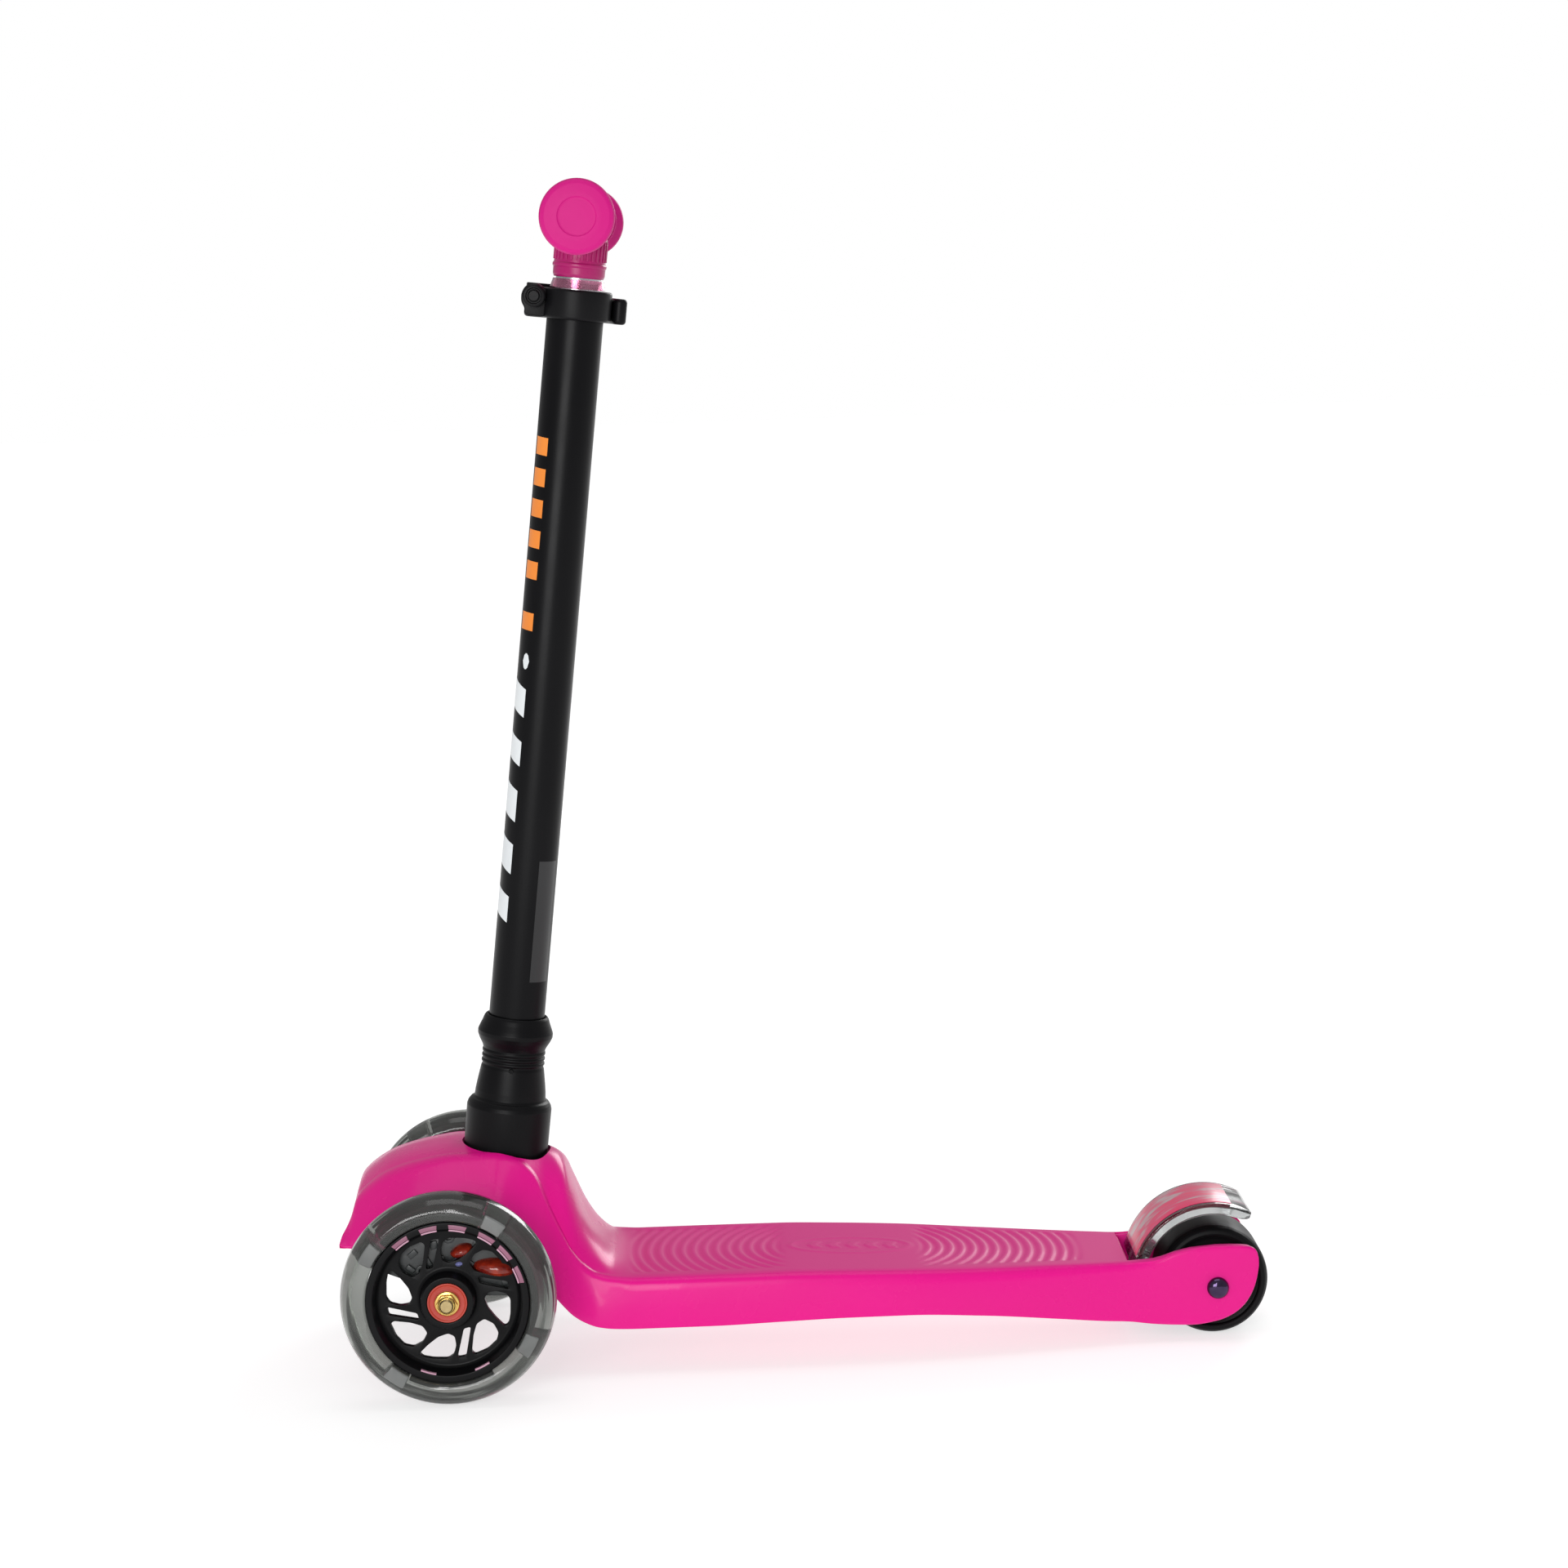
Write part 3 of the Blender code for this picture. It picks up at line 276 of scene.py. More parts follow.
def inlay_material():
    """Pink and pale streaks printed on the fender's film."""
    mat = new_material("fender_inlay_film", (0.80, 0.03, 0.13), 0.32, Coat_Weight=0.1)
    streaks = noise(mat, 95.0, 3.5, (0.42, 1.5, 0.6))
    ramp = vary_colour(mat, (0.76, 0.022, 0.125), (0.50, 0.40, 0.41), streaks, 0.42, 0.62)
    middle = ramp.color_ramp.elements.new(0.52)
    middle.color = (0.66, 0.075, 0.18, 1.0)
    bump(mat, noise(mat, 300.0), 0.4, 0.1)
    return mat


INLAY = inlay_material()


# ---- shapes


def put_in_scene(obj):
    if not obj.users_collection:
        bpy.context.scene.collection.objects.link(obj)


def file_piece(obj, mat, body, slot, *nodes, sharp=38.0):
    """Shades a finished piece and hands it to the frame, in place of any CAD nodes named."""
    put_in_scene(obj)
    obj.data.materials.append(mat)
    obj.data.shade_smooth()
    obj.data.set_sharp_from_angle(angle=math.radians(sharp))
    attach(obj, body)
    if nodes:
        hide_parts(*nodes)
    return obj


def mesh_of(name, points, faces):
    """A mesh object from points in millimetres, with its faces turned outwards."""
    mesh = bpy.data.meshes.new(name)
    mesh.from_pydata([(x * MM, y * MM, z * MM) for x, y, z in points], [], faces)
    work = bmesh.new()
    work.from_mesh(mesh)
    bmesh.ops.recalc_face_normals(work, faces=work.faces)
    work.to_mesh(mesh)
    work.free()
    return bpy.data.objects.new(name, mesh)


def applied(obj):
    """A new mesh object with obj's modifiers applied."""
    put_in_scene(obj)
    bpy.context.view_layer.update()
    graph = bpy.context.evaluated_depsgraph_get()
    mesh = bpy.data.meshes.new_from_object(obj.evaluated_get(graph))
    name = obj.name
    bpy.data.objects.remove(obj)
    return bpy.data.objects.new(name, mesh)


def merged(name, *objs):
    """Several mesh objects put into one; solids that overlap stay as they are."""
    work = bmesh.new()
    for obj in objs:
        work.from_mesh(obj.data)
        bpy.data.objects.remove(obj)
    mesh = bpy.data.meshes.new(name)
    work.to_mesh(mesh)
    work.free()
    return bpy.data.objects.new(name, mesh)


def moved(obj, matrix):
    obj.data.transform(matrix)
    return obj


def cut(obj, other):
    """A new mesh object: obj with other taken out of it."""
    put_in_scene(obj)
    put_in_scene(other)
    step = obj.modifiers.new("boolean", "BOOLEAN")
    step.object = other
    step.operation = "DIFFERENCE"
    step.solver = "EXACT"
    done = applied(obj)
    bpy.data.objects.remove(other)
    return done


def bevelled(obj, width, segments=3, angle=35.0):
    step = obj.modifiers.new("round", "BEVEL")
    step.width = width * MM
    step.segments = segments
    step.limit_method = "ANGLE"
    step.angle_limit = math.radians(angle)
    step.use_clamp_overlap = True
    return applied(obj)


def mirrored(half):
    """Half of an outline and its mirror image; a point on the mirror line isn't doubled."""
    return half + [(x, -y) for x, y in reversed(half) if y]


LONGEST_REACH = 0.45  # of a side's length, so that two rounded corners on it never meet


def rounded(points, radius, closed=True, count=4):
    """An outline with its corners rounded; an open one keeps its two ends."""
    made = []
    total = len(points)
    for i, point in enumerate(points):
        here = Vector(point)
        if not closed and i in (0, total - 1):
            made.append(tuple(here))
            continue
        before = Vector(points[i - 1]) - here
        after = Vector(points[(i + 1) % total]) - here
        reach = min(radius, before.length * LONGEST_REACH, after.length * LONGEST_REACH)
        start = here + before.normalized() * reach
        end = here + after.normalized() * reach
        for k in range(count + 1):
            t = k / count
            made.append(tuple(start * (1 - t) ** 2 + here * 2 * t * (1 - t) + end * t * t))
    return made


def lathe(name, profile, steps=72, closed=False, radius=0.0, matrix=None):
    """Turns a profile of (radius, height) points about Z; a closed one is a ring."""
    points = rounded(profile, radius, closed) if radius else list(profile)
    verts, faces = [], []
    rings = []
    for r, z in points:
        if r < 1e-6:
            rings.append([len(verts)] * steps)
            verts.append((0.0, 0.0, z))
            continue
        rings.append([len(verts) + k for k in range(steps)])
        for k in range(steps):
            angle = math.tau * k / steps
            verts.append((r * math.cos(angle), r * math.sin(angle), z))
    pairs = list(zip(rings, rings[1:]))
    if closed:
        pairs.append((rings[-1], rings[0]))
    for low, high in pairs:
        for k in range(steps):
            n = (k + 1) % steps
            corners = [low[k], low[n], high[n], high[k]]
            face = [v for i, v in enumerate(corners) if v not in corners[:i]]
            if len(face) > 2:
                faces.append(face)
    obj = mesh_of(name, verts, faces)
    return moved(obj, matrix) if matrix else obj


def slab(name, outline, low, high, bevel=0.0, matrix=None, segments=3):
    """A flat outline of (x, y) points given thickness along Z, with its rims rounded."""
    count = len(outline)
    verts = [(x, y, low) for x, y in outline] + [(x, y, high) for x, y in outline]
    faces = [list(range(count))[::-1], list(range(count, 2 * count))]
    faces += [[i, (i + 1) % count, count + (i + 1) % count, count + i] for i in range(count)]
    obj = mesh_of(name, verts, faces)
    if bevel:
        obj = bevelled(obj, bevel, segments, 50.0)
    return moved(obj, matrix) if matrix else obj


def block(name, low, high, bevel=0.6, matrix=None):
    (x0, y0, z0), (x1, y1, z1) = low, high
    return slab(name, ((x0, y0), (x1, y0), (x1, y1), (x0, y1)), z0, z1, bevel, matrix)


def arc(radius, start, stop, count, centre=(0, 0)):
    angles = [math.radians(start + (stop - start) * i / (count - 1)) for i in range(count)]
    return [(centre[0] + radius * math.cos(a), centre[1] + radius * math.sin(a)) for a in angles]


def smooth_step(low, high, value):
    t = np.clip((value - low) / (high - low), 0, 1)
    return t * t * (3 - 2 * t)


def pchip(at, values, wanted):
    """Monotone cubic interpolation: smooth, with no overshoot between the given values."""
    at, values = np.asarray(at, float), np.asarray(values, float)
    step = np.diff(at)
    slope = np.diff(values, axis=0) / step[:, None]
    tangent = np.zeros_like(values)
    tangent[0], tangent[-1] = slope[0], slope[-1]
    w1 = (2 * step[1:] + step[:-1])[:, None]
    w2 = (step[1:] + 2 * step[:-1])[:, None]
    same = slope[:-1] * slope[1:] > 0
    with np.errstate(divide="ignore", invalid="ignore"):
        mean = (w1 + w2) / (w1 / slope[:-1] + w2 / slope[1:])
    tangent[1:-1] = np.where(same, mean, 0)
    index = np.clip(np.searchsorted(at, wanted, side="right") - 1, 0, len(at) - 2)
    t = ((wanted - at[index]) / step[index])[:, None]
    h = step[index][:, None]
    return (
        (1 + 2 * t) * (1 - t) ** 2 * values[index]
        + t * (1 - t) ** 2 * h * tangent[index]
        + t * t * (3 - 2 * t) * values[index + 1]
        + t * t * (t - 1) * h * tangent[index + 1]
    )


# ---- body moulding

# Nose to tail: x, centre height, shoulder height, shoulder half-width, shoulder radius, lower edge
# half-width, lower edge height, crown power.
STATIONS = (
    (62.0, 88.5, 88.0, 66.0, 3.0, 75.0, 84.2, 2.0),
    (58.0, 99.5, 96.5, 50.0, 7.0, 76.0, 83.5, 2.0),
    (54.5, 106.3, 102.8, 43.5, 8.0, 76.5, 83.5, 2.0),
    (48.0, 112.0, 109.0, 39.0, 9.0, 76.5, 84.5, 2.0),
    (36.0, 118.5, 116.0, 36.0, 9.0, 77.0, 87.0, 2.2),
    (18.0, 123.0, 121.0, 34.5, 8.0, 77.0, 90.0, 2.4),
    (-2.0, 125.5, 123.8, 33.8, 7.0, 77.0, 91.0, 2.4),
    (-24.0, 125.5, 123.8, 33.8, 6.5, 77.0, 88.0, 2.4),
    (-38.0, 123.5, 119.5, 34.8, 5.0, 76.0, 79.0, 2.2),
    (-47.0, 121.0, 111.5, 37.8, 4.6, 74.5, 67.0, 2.1),
    (-55.0, 118.5, 94.0, 45.0, 4.5, 72.5, 53.0, 2.2),
    (-62.0, 112.5, 80.0, 51.0, 4.5, 70.0, 43.0, 2.6),
    (-67.0, 100.0, 71.0, 55.0, 4.5, 68.0, 37.0, 3.0),
    (-73.5, 83.5, 63.5, 57.5, 4.8, 66.0, 32.0, 3.2),
    (-81.0, 70.5, 58.5, 59.5, 5.2, 64.5, 28.5, 3.4),
    (-91.0, 60.5, 56.5, 61.0, 6.0, 64.0, 27.0, 3.0),
    (-104.0, 56.2, 55.9, 62.0, 8.0, 63.5, 26.5, 2.5),
    (-145.0, 56.0, 55.9, 62.3, 8.0, 63.6, 26.6, 2.5),
    (-185.0, 56.0, 55.9, 61.9, 8.0, 63.2, 27.6, 2.5),
    (-220.0, 55.1, 55.0, 60.9, 8.0, 62.3, 28.3, 2.5),
    (-255.0, 53.8, 53.7, 58.9, 8.0, 60.4, 28.0, 2.5),
    (-300.0, 51.8, 51.6, 53.0, 8.0, 54.4, 24.5, 2.5),
    (-345.0, 50.0, 49.8, 45.0, 7.0, 46.0, 18.5, 2.5),
    (-370.0, 49.0, 48.9, 40.6, 6.2, 41.2, 15.0, 2.5),
    (-384.0, 48.6, 48.5, 38.4, 5.6, 38.7, 13.5, 2.5),
    (-398.7, 49.2, 49.2, 37.2, 4.2, 37.3, 11.2, 2.5),
    (-411.4, 53.0, 53.0, 37.0, 3.2, 37.0, 10.2, 2.5),
    (-420.0, 54.8, 54.8, 37.0, 2.8, 37.0, 9.9, 2.5),
    (-434.9, 56.0, 56.0, 37.0, 2.6, 37.0, 11.9, 2.5),
    (-443.0, 55.9, 55.9, 37.0, 2.4, 37.0, 15.0, 2.5),
    (-449.0, 55.6, 55.6, 37.0, 2.2, 37.0, 19.4, 2.5),
    (-453.1, 55.1, 55.1, 37.0, 2.0, 37.0, 24.6, 2.5),
    (-456.4, 53.8, 53.8, 37.0, 1.8, 37.0, 31.8, 2.5),
    (-458.1, 51.6, 51.6, 37.0, 1.4, 37.0, 38.6, 2.5),
    (-458.8, 48.3, 48.3, 37.0, 0.8, 37.0, 43.5, 2.5),
)
TAIL_START = -384.0
TREAD_CENTRE = -226.0
TREAD_PITCH = 6.5
BADGE = (37.0, 19.0)
TREAD_DEPTH = 0.85
STATION_STEPS = ((-94, 1.5), (-372, 0.85), (-450, 1.6))  # while ahead of this x, this far apart
LAST_STEP = 0.45
COLLAR_MOUTH = (25.3, 30.6)
MOUTH_HEIGHT = 124.0


def tread_relief(x, y):
    """Height of the deck's rings and its plain oval badge above the flat, in millimetres."""
    across = np.hypot(x - TREAD_CENTRE, y)
    rings = 0.5 - 0.5 * math.cos(math.tau * across / TREAD_PITCH)
    ends = smooth_step(-97, -106, x) * smooth_step(-362, -350, x)
    clear_of_badge = smooth_step(36, 46, abs(x - TREAD_CENTRE))
    height = -TREAD_DEPTH * rings * ends * clear_of_badge
    oval = math.hypot((x - TREAD_CENTRE) / BADGE[0], y / BADGE[1])
    rim = math.exp(-(((oval - 0.93) * 16) ** 2))
    slant = ((x - TREAD_CENTRE) + 0.45 * y) / 11.0
    bar = smooth_step(0.30, 0.22, abs(slant - round(slant)))
    inside = smooth_step(7.2, 6.0, abs(y)) * smooth_step(28, 26, abs(x - TREAD_CENTRE))
    return height + 0.5 * rim + 0.5 * bar * inside


def station_step(x):
    for limit, step in STATION_STEPS:
        if x > limit:
            return step
    return LAST_STEP


def station_rows():
    """Dense stations along the body, close together where it turns quickly."""
    table = np.array(STATIONS)
    run = np.hypot(np.diff(table[:, 0]), 0.55 * np.diff(table[:, 1]))
    along = np.concatenate([[0], np.cumsum(run)])
    wanted = [0.0]
    while wanted[-1] < along[-1]:
        x = float(pchip(along, table[:, :1], np.array(wanted[-1:]))[0, 0])
        wanted.append(min(wanted[-1] + station_step(x), along[-1]))
    return pchip(along, table, np.array(wanted))


TOP_COUNT, CORNER_COUNT, WALL_COUNT = 36, 8, 7


def body_section(row, flat_top):
    """Half of one cross-section, from the centre line out and down, as (x, y, z) points."""
    x, centre, shoulder, half_width, radius, low_width, low, power = row
    points = []
    start_y = half_width - radius
    for k in range(TOP_COUNT):
        u = k / (TOP_COUNT - 1)
        y = start_y * u
        z = centre + (shoulder - centre) * u**power
        if flat_top:
            edge = smooth_step(start_y - 3.0, start_y - 7.0, y)
            z += tread_relief(x, y) * edge
        points.append((y, z))
    corner = Vector((half_width, shoulder))
    foot = Vector((low_width, low))
    down = (foot - corner).normalized()
    end = corner + down * radius
    start = Vector(points[-1])
    for k in range(1, CORNER_COUNT + 1):
        t = k / CORNER_COUNT
        spot = start * (1 - t) ** 2 + corner * 2 * t * (1 - t) + end * t * t
        points.append(tuple(spot))
    out = Vector((-down.y, down.x))
    height = (foot - end).length
    belly = min(0.9, height * 0.02)
    for k in range(1, WALL_COUNT + 1):
        t = k / WALL_COUNT
        spot = end + (foot - end) * t * 0.94 + out * belly * math.sin(math.pi * t)
        points.append(tuple(spot))
    roll = min(1.6, height * 0.06)
    base = Vector(points[-1])
    for k in (1, 2, 3):
        a = math.radians(30 * k)
        spot = base + down * height * 0.06 * math.sin(a) - out * roll * (1 - math.cos(a))
        points.append(tuple(spot))
    bow = 5.0 * smooth_step(54, 62, x)
    made = []
    for y, z in points:
        made.append((x - bow * (1 - min(abs(y) / 75, 1) ** 2), y, z))
    return made


def body_skin():
    rows = station_rows()
    verts, grid, tails = [], [], []
    for row in rows:
        half = body_section(row, -372 < row[0] < -92)
        count = len(half)
        line = []
        for j in range(-(count - 1), count):
            x, y, z = half[abs(j)]
            line.append(len(verts))
            verts.append((x, y if j >= 0 else -y, z))
        grid.append(line)
        tails.append(row[0] < TAIL_START - 0.01)
    faces = []
    middle = count - 1
    open_half = TOP_COUNT - 1
    for (ahead, behind), tail in zip(zip(grid, grid[1:]), tails[1:]):
        for i in range(len(ahead) - 1):
            if tail and abs(i + 0.5 - middle) < open_half:
                continue
            faces.append((ahead[i], behind[i], behind[i + 1], ahead[i + 1]))
    skin = mesh_of("body_skin", verts, faces)
    work = bmesh.new()
    work.from_mesh(skin.data)
    bmesh.ops.delete(work, geom=[v for v in work.verts if not v.link_faces], context="VERTS")
    work.faces.ensure_lookup_table()
    top = max(work.faces, key=lambda f: f.calc_center_median().z)
    if top.normal.z < 0:
        bmesh.ops.reverse_faces(work, faces=work.faces)
    work.to_mesh(skin.data)
    work.free()
    wall = skin.modifiers.new("wall", "SOLIDIFY")
    wall.thickness = SHELL * MM
    wall.offset = -1
    wall.use_even_offset = False
    return applied(skin)


def upright_slab(name, outline, low_y, high_y, bevel=0.5):
    """A slab whose outline is in the XZ plane, between two Y values."""
    made = slab(name, outline, -high_y, -low_y, bevel)
    return moved(made, UPRIGHT)


def deck_body():
    skin = body_skin()
    collar_x = STEM_FOOT_X - MOUTH_HEIGHT * math.tan(RAKE)
    long, wide = COLLAR_MOUTH
    mouth = [(long * math.cos(a), wide * math.sin(a)) for a in np.linspace(0, math.tau, 97)[:-1]]
    opening = slab("opening", [(collar_x + x, y) for x, y in mouth], 100, 150)
    skin = cut(skin, opening)
    pieces = [skin]
    top = [(-376, 47.2), (-384, 47.7), (-398.7, 48.6), (-404, 49.9), (-411.4, 52.4), (-420, 54.3)]
    top += [(-434.9, 55.5), (-443, 55.4), (-449, 55.1), (-453, 54.6), (-456.0, 53.2), (-457.7, 51.1)]
    top += [(-458.3, 48)]
    under = [(-458.2, 43.5), (-457.5, 38.8), (-455.8, 32.1), (-452.6, 25.2), (-448.5, 20.1), (-442.6, 15.7)]
    under += [(-434.9, 12.6), (-420, 10.6), (-404, 11.5), (-376, 15.2)]
    for low_y, high_y in ((29.5, 36.6), (-36.6, -29.5)):
        pieces.append(upright_slab("arm_core", top + under, low_y, high_y))
    pieces.append(block("rear_wall", (-385, -32, 14), (-378, 32, 47.2), 1.5))
    rib = ((-100, 53.4), (-185, 53.4), (-255, 51.4), (-330, 48.0), (-330, 31), (-100, 31))
    for y in (34, -34):
        pieces.append(upright_slab("rib", rib, y - 1.4, y + 1.4, 0.4))
    pieces.append(block("cross", (-105.5, -55, 32), (-102.5, 55, 54), 0.4))
    pieces.append(block("cross", (-301.5, -46, 30), (-298.5, 46, 50), 0.4))
    for x, half_y, top_z in ((26, 34, 112.5), (-50, 38, 91.5)):
        for y in (half_y, -half_y):
            profile = ((2.2, 80.4), (4.4, 80.4), (4.9, top_z), (2.2, top_z))
            pieces.append(lathe("boss", profile, 24, True, 0.3, shift(x, y, 0)))
    body = moved(merged("deck_moulding", *pieces), FRONT)
    file_piece(body, BODY_PINK, "deck", "deck_pink", "deck_body", sharp=42.0)


# ---- steering column, tube and clamp


def ribbed_socket():
    """The collar the tube plugs into: stepped foot, belly, ringed waist and flared top."""
    foot = [(0, 102), (20, 102), (20, 112), (23.6, 117.2), (24.2, 119), (24.4, 145.6), (23.8, 147.6)]
    foot += [(22.4, 149.6), (21.2, 150.2)]
    belly = [(20.5, 151.2), (20.2, 155), (19.5, 160), (18.7, 165), (18.1, 168.6)]
    waist = []
    for k in range(3):
        s = 170.0 + 3.0 * k
        waist += [(17.55, s), (17.55, s + 0.9), (18.15, s + 1.3), (18.15, s + 2.4)]
    flare = [(17.7, 179.4), (18.6, 181.6), (20.4, 184.8), (21.5, 187.4), (21.6, 189.6), (20.8, 191.8)]
    flare += [(19.4, 195.2), (18.5, 197.8), (17.6, 199), (16.4, 199), (16.4, 137), (0, 137)]
    return lathe("socket", foot + belly + waist + flare, 96, False, 0.35)


def steering_column():
    socket = moved(ribbed_socket(), STEM)
    barrel = lathe("barrel", ((7.35, -48), (13, -48), (13, 6.1), (7.35, 6.1)), 48, True, 0.8)
    barrel = moved(barrel, FRONT @ shift(0, 0, LEAN_Z) @ ALONG_X)
    wing = block("wing", (-30, -34, 91), (-14, 34, 97), 1.0, FRONT)
    reach = block("reach", (-STEER_ARM - 4, -5, 82.5), (-22, 5, 92), 1.0, FRONT)
    pin = ((0, 67), (4, 67), (4, 86), (0, 86))
    finger = lathe("finger", pin, 32, False, 0.9, FRONT @ shift(-STEER_ARM, 0, 0))
    column = merged("stem_socket", socket, barrel, wing, reach, finger)
    file_piece(column, BLACK, "column", "black_plastic", "steering_column")
    head = ((0, 16.6), (1.5, 16.6), (1.5, 17.9), (1.2, 18.6), (0.5, 18.6), (0.5, 18.1), (0, 18.1))
    screw = lathe("socket_screw", head, 24)
    moved(screw, STEM @ shift(0, 0, 169) @ ALONG_Y)
    file_piece(screw, BLACK, "column", "steel", "collar_screw")


PATCH_STEP = 3.5


def tube_patch(outline, lift=0.06):
    """A printed mark on the tube: an outline of (degrees round from the front, height) points."""
    verts, faces = [], []
    r = TUBE_R + lift
    angles = [a for a, _ in outline]
    low, high = min(angles), max(angles)
    columns = max(3, int((high - low) / PATCH_STEP))
    lines = []
    for k in range(columns + 1):
        a = low + (high - low) * (0.002 + 0.996 * k / columns)
        heights = []
        for (a0, s0), (a1, s1) in zip(outline, outline[1:] + outline[:1]):
            if (a0 <= a < a1) or (a1 <= a < a0):
                heights.append(s0 + (s1 - s0) * (a - a0) / (a1 - a0))
        heights.sort()
        lines.append((a, heights[0], heights[-1]))
    for a, bottom, top in lines:
        turn = math.radians(a)
        for s in (bottom, top):
            verts.append((r * math.cos(turn), r * math.sin(turn), s))
            verts.append(((r - 0.3) * math.cos(turn), (r - 0.3) * math.sin(turn), s))
    for k in range(columns):
        i = 4 * k
        faces += [(i, i + 4, i + 6, i + 2), (i + 1, i + 3, i + 7, i + 5), (i, i + 1, i + 5, i + 4)]
        faces.append((i + 2, i + 6, i + 7, i + 3))
    faces += [(0, 2, 3, 1), (4 * columns, 4 * columns + 1, 4 * columns + 3, 4 * columns + 2)]
    return mesh_of("mark", verts, faces)


def tube_marks():
    """Plain printed marks: orange squares, white slanted bars under a dot, and a blank sticker."""
    squares = []
    for s in (526.0, 508.5, 491.0, 473.6, 456.0, 427.0):
        squares.append(tube_patch([(17, s - 4.9), (56, s - 5.6), (56, s + 4.4), (17, s + 5.1)]))
    orange = moved(merged("orange_squares", *squares), STEM)
    file_piece(orange, MARK_ORANGE, "column", "black_paint")
    bars = []
    for low, high in ((372, 394), (344, 364), (312, 336), (282, 305), (254, 275)):
        bars.append(tube_patch([(4, low + 6), (52, low), (52, high - 6), (4, high)]))
    dot = [(38, 401), (45, 399), (52, 401), (54, 404), (52, 407), (45, 409), (38, 407), (36, 404)]
    bars.append(tube_patch(dot))
    white = moved(merged("white_bars", *bars), STEM)
    file_piece(white, MARK_WHITE, "column", "black_paint")
    sticker = moved(tube_patch([(112, 221), (160, 221), (160, 291), (112, 291)], 0.08), STEM)
    sticker.name = "blank_sticker"
    file_piece(sticker, STICKER, "column", "black_paint")


def tubes():
    wall = ((14.5, 137.4), (TUBE_R, 137.4), (TUBE_R, 611.6), (14.5, 611.6))
    tube = lathe("outer_tube_paint", wall, 96, True, 0.4, STEM)
    file_piece(tube, SATIN, "column", "black_paint", "outer_tube")
    inner_wall = ((11.2, 340), (12.7, 340), (12.7, 637.3), (11.2, 637.3))
    inner = lathe("telescopic_tube", inner_wall, 72, True, 0.3, STEM)
    file_piece(inner, SILVER, "handlebar", "silver_tube", "inner_tube")
    tube_marks()


def clamp():
    bolt_x, bolt_s = CLAMP_BOLT
    profile = ((16.5, 597.4), (19.8, 597.4), (19.8, 614.2), (16.5, 614.2))
    ring = lathe("ring", profile, 72, True, 1.6)
    outline = [(16.8, 597.6), (26.8, 597.6), (28.6, 599.0), (28.4, 601.6), (30.6, 605.0), (30.9, 609.4)]
    outline += [(29.6, 613.0), (26.6, 615.6), (22.6, 616.0), (19.4, 614.2), (16.8, 613.6)]
    smooth = rounded(outline, 1.6)
    ears = []
    for low_y, high_y in ((1.2, 10.2), (-10.2, -1.2)):
        ears.append(upright_slab("ear", smooth, low_y, high_y, 0.8))
    collar = moved(merged("clamp_ring", ring, *ears), STEM)
    file_piece(collar, BLACK, "column", "black_plastic", "clamp_collar")

    head = ((3.2, 10.5), (6.6, 10.5), (6.6, 14.2), (5.9, 15.1), (4.6, 15.4), (4.2, 14.7), (3.6, 14.7))
    head += ((3.2, 15.0),)
    nut = lathe("clamp_nut_cap", head, 48, True, 0.25, STEM @ shift(bolt_x, 0, bolt_s) @ ALONG_Y)
    file_piece(nut, BLACK, "column", "black_plastic", "clamp_nut")
    lever()


def lever():
    bolt_x, bolt_s = CLAMP_BOLT
    pivot = (bolt_x, LEVER_PIVOT_Y)
    outer = arc(28.0, -60, -166, 40)
    inner = arc(20.5, -64, -164, 40)
    tip = arc(4.0, -178, -330, 16, (-24.4, -4.2))
    outline = arc(6.0, 40, -45, 10, pivot) + outer + tip + inner[::-1] + arc(6.0, 150, 60, 8, pivot)
    arm = slab("arm", outline, 596.8, 611.2, 3.0, segments=5)
    low, high = bolt_s - 3.8, bolt_s + 3.8
    gap = lathe("gap", ((0, low), (7.6, low), (7.6, high), (0, high)), 48)
    arm = cut(arm, moved(gap, shift(*pivot, 0)))
    bridge = block("bridge", (9.6, -22.4, 600), (15.8, -18.0, bolt_s + 6.9), 0.8)
    cheek_line = arc(5.8, 90, -90, 16, pivot) + [(10.0, -22.2), (9.8, -18.4)]
    cheek = slab("cheek", cheek_line, bolt_s + 4.1, bolt_s + 7.1, 0.7)
    grip_ribs = []
    for k in range(4):
        turn = about_z(-118 - 9 * k) @ shift(27.9, 0, 0)
        grip_ribs.append(block("rib", (-0.6, -0.9, 599.5), (0.45, 0.9, 609.4), 0.35, turn))
    arm = moved(merged("clamp_lever_arm", arm, bridge, cheek, *grip_ribs), STEM)
    file_piece(arm, BLACK, "quick_release", "black_plastic", "clamp_lever")


# ---- handlebar

GRIP_RINGS = 17
NECK_RIBS = 30


def grip_profile():
    """End cap with a shallow round recess, a flared rim, ringed barrel and inner flange."""
    points = [(0, 117.4), (11.1, 117.4), (11.1, 21.4), (17.4, 21.4), (18.0, 22.0), (18.0, 23.6)]
    points += [(17.2, 24.6), (15.2, 27.0)]
    for k in range(GRIP_RINGS):
        s = 30.0 + 4.8 * k
        swell = 0.35 * math.sin(math.pi * k / (GRIP_RINGS - 1))
        points += [(13.9, s), (13.9, s + 0.9), (14.45 + swell, s + 1.3), (14.45 + swell, s + 4.2)]
    points += [(14.3, 112.4), (15.6, 114.2), (18.2, 116.0), (19.8, 117.4), (20.3, 119.2), (20.2, 121.0)]
    points += [(19.3, 122.8), (17.4, 123.8), (13.0, 124.5), (10.6, 124.75), (10.1, 124.2), (9.2, 124.1)]
    points += [(0, 124.4)]
    return points


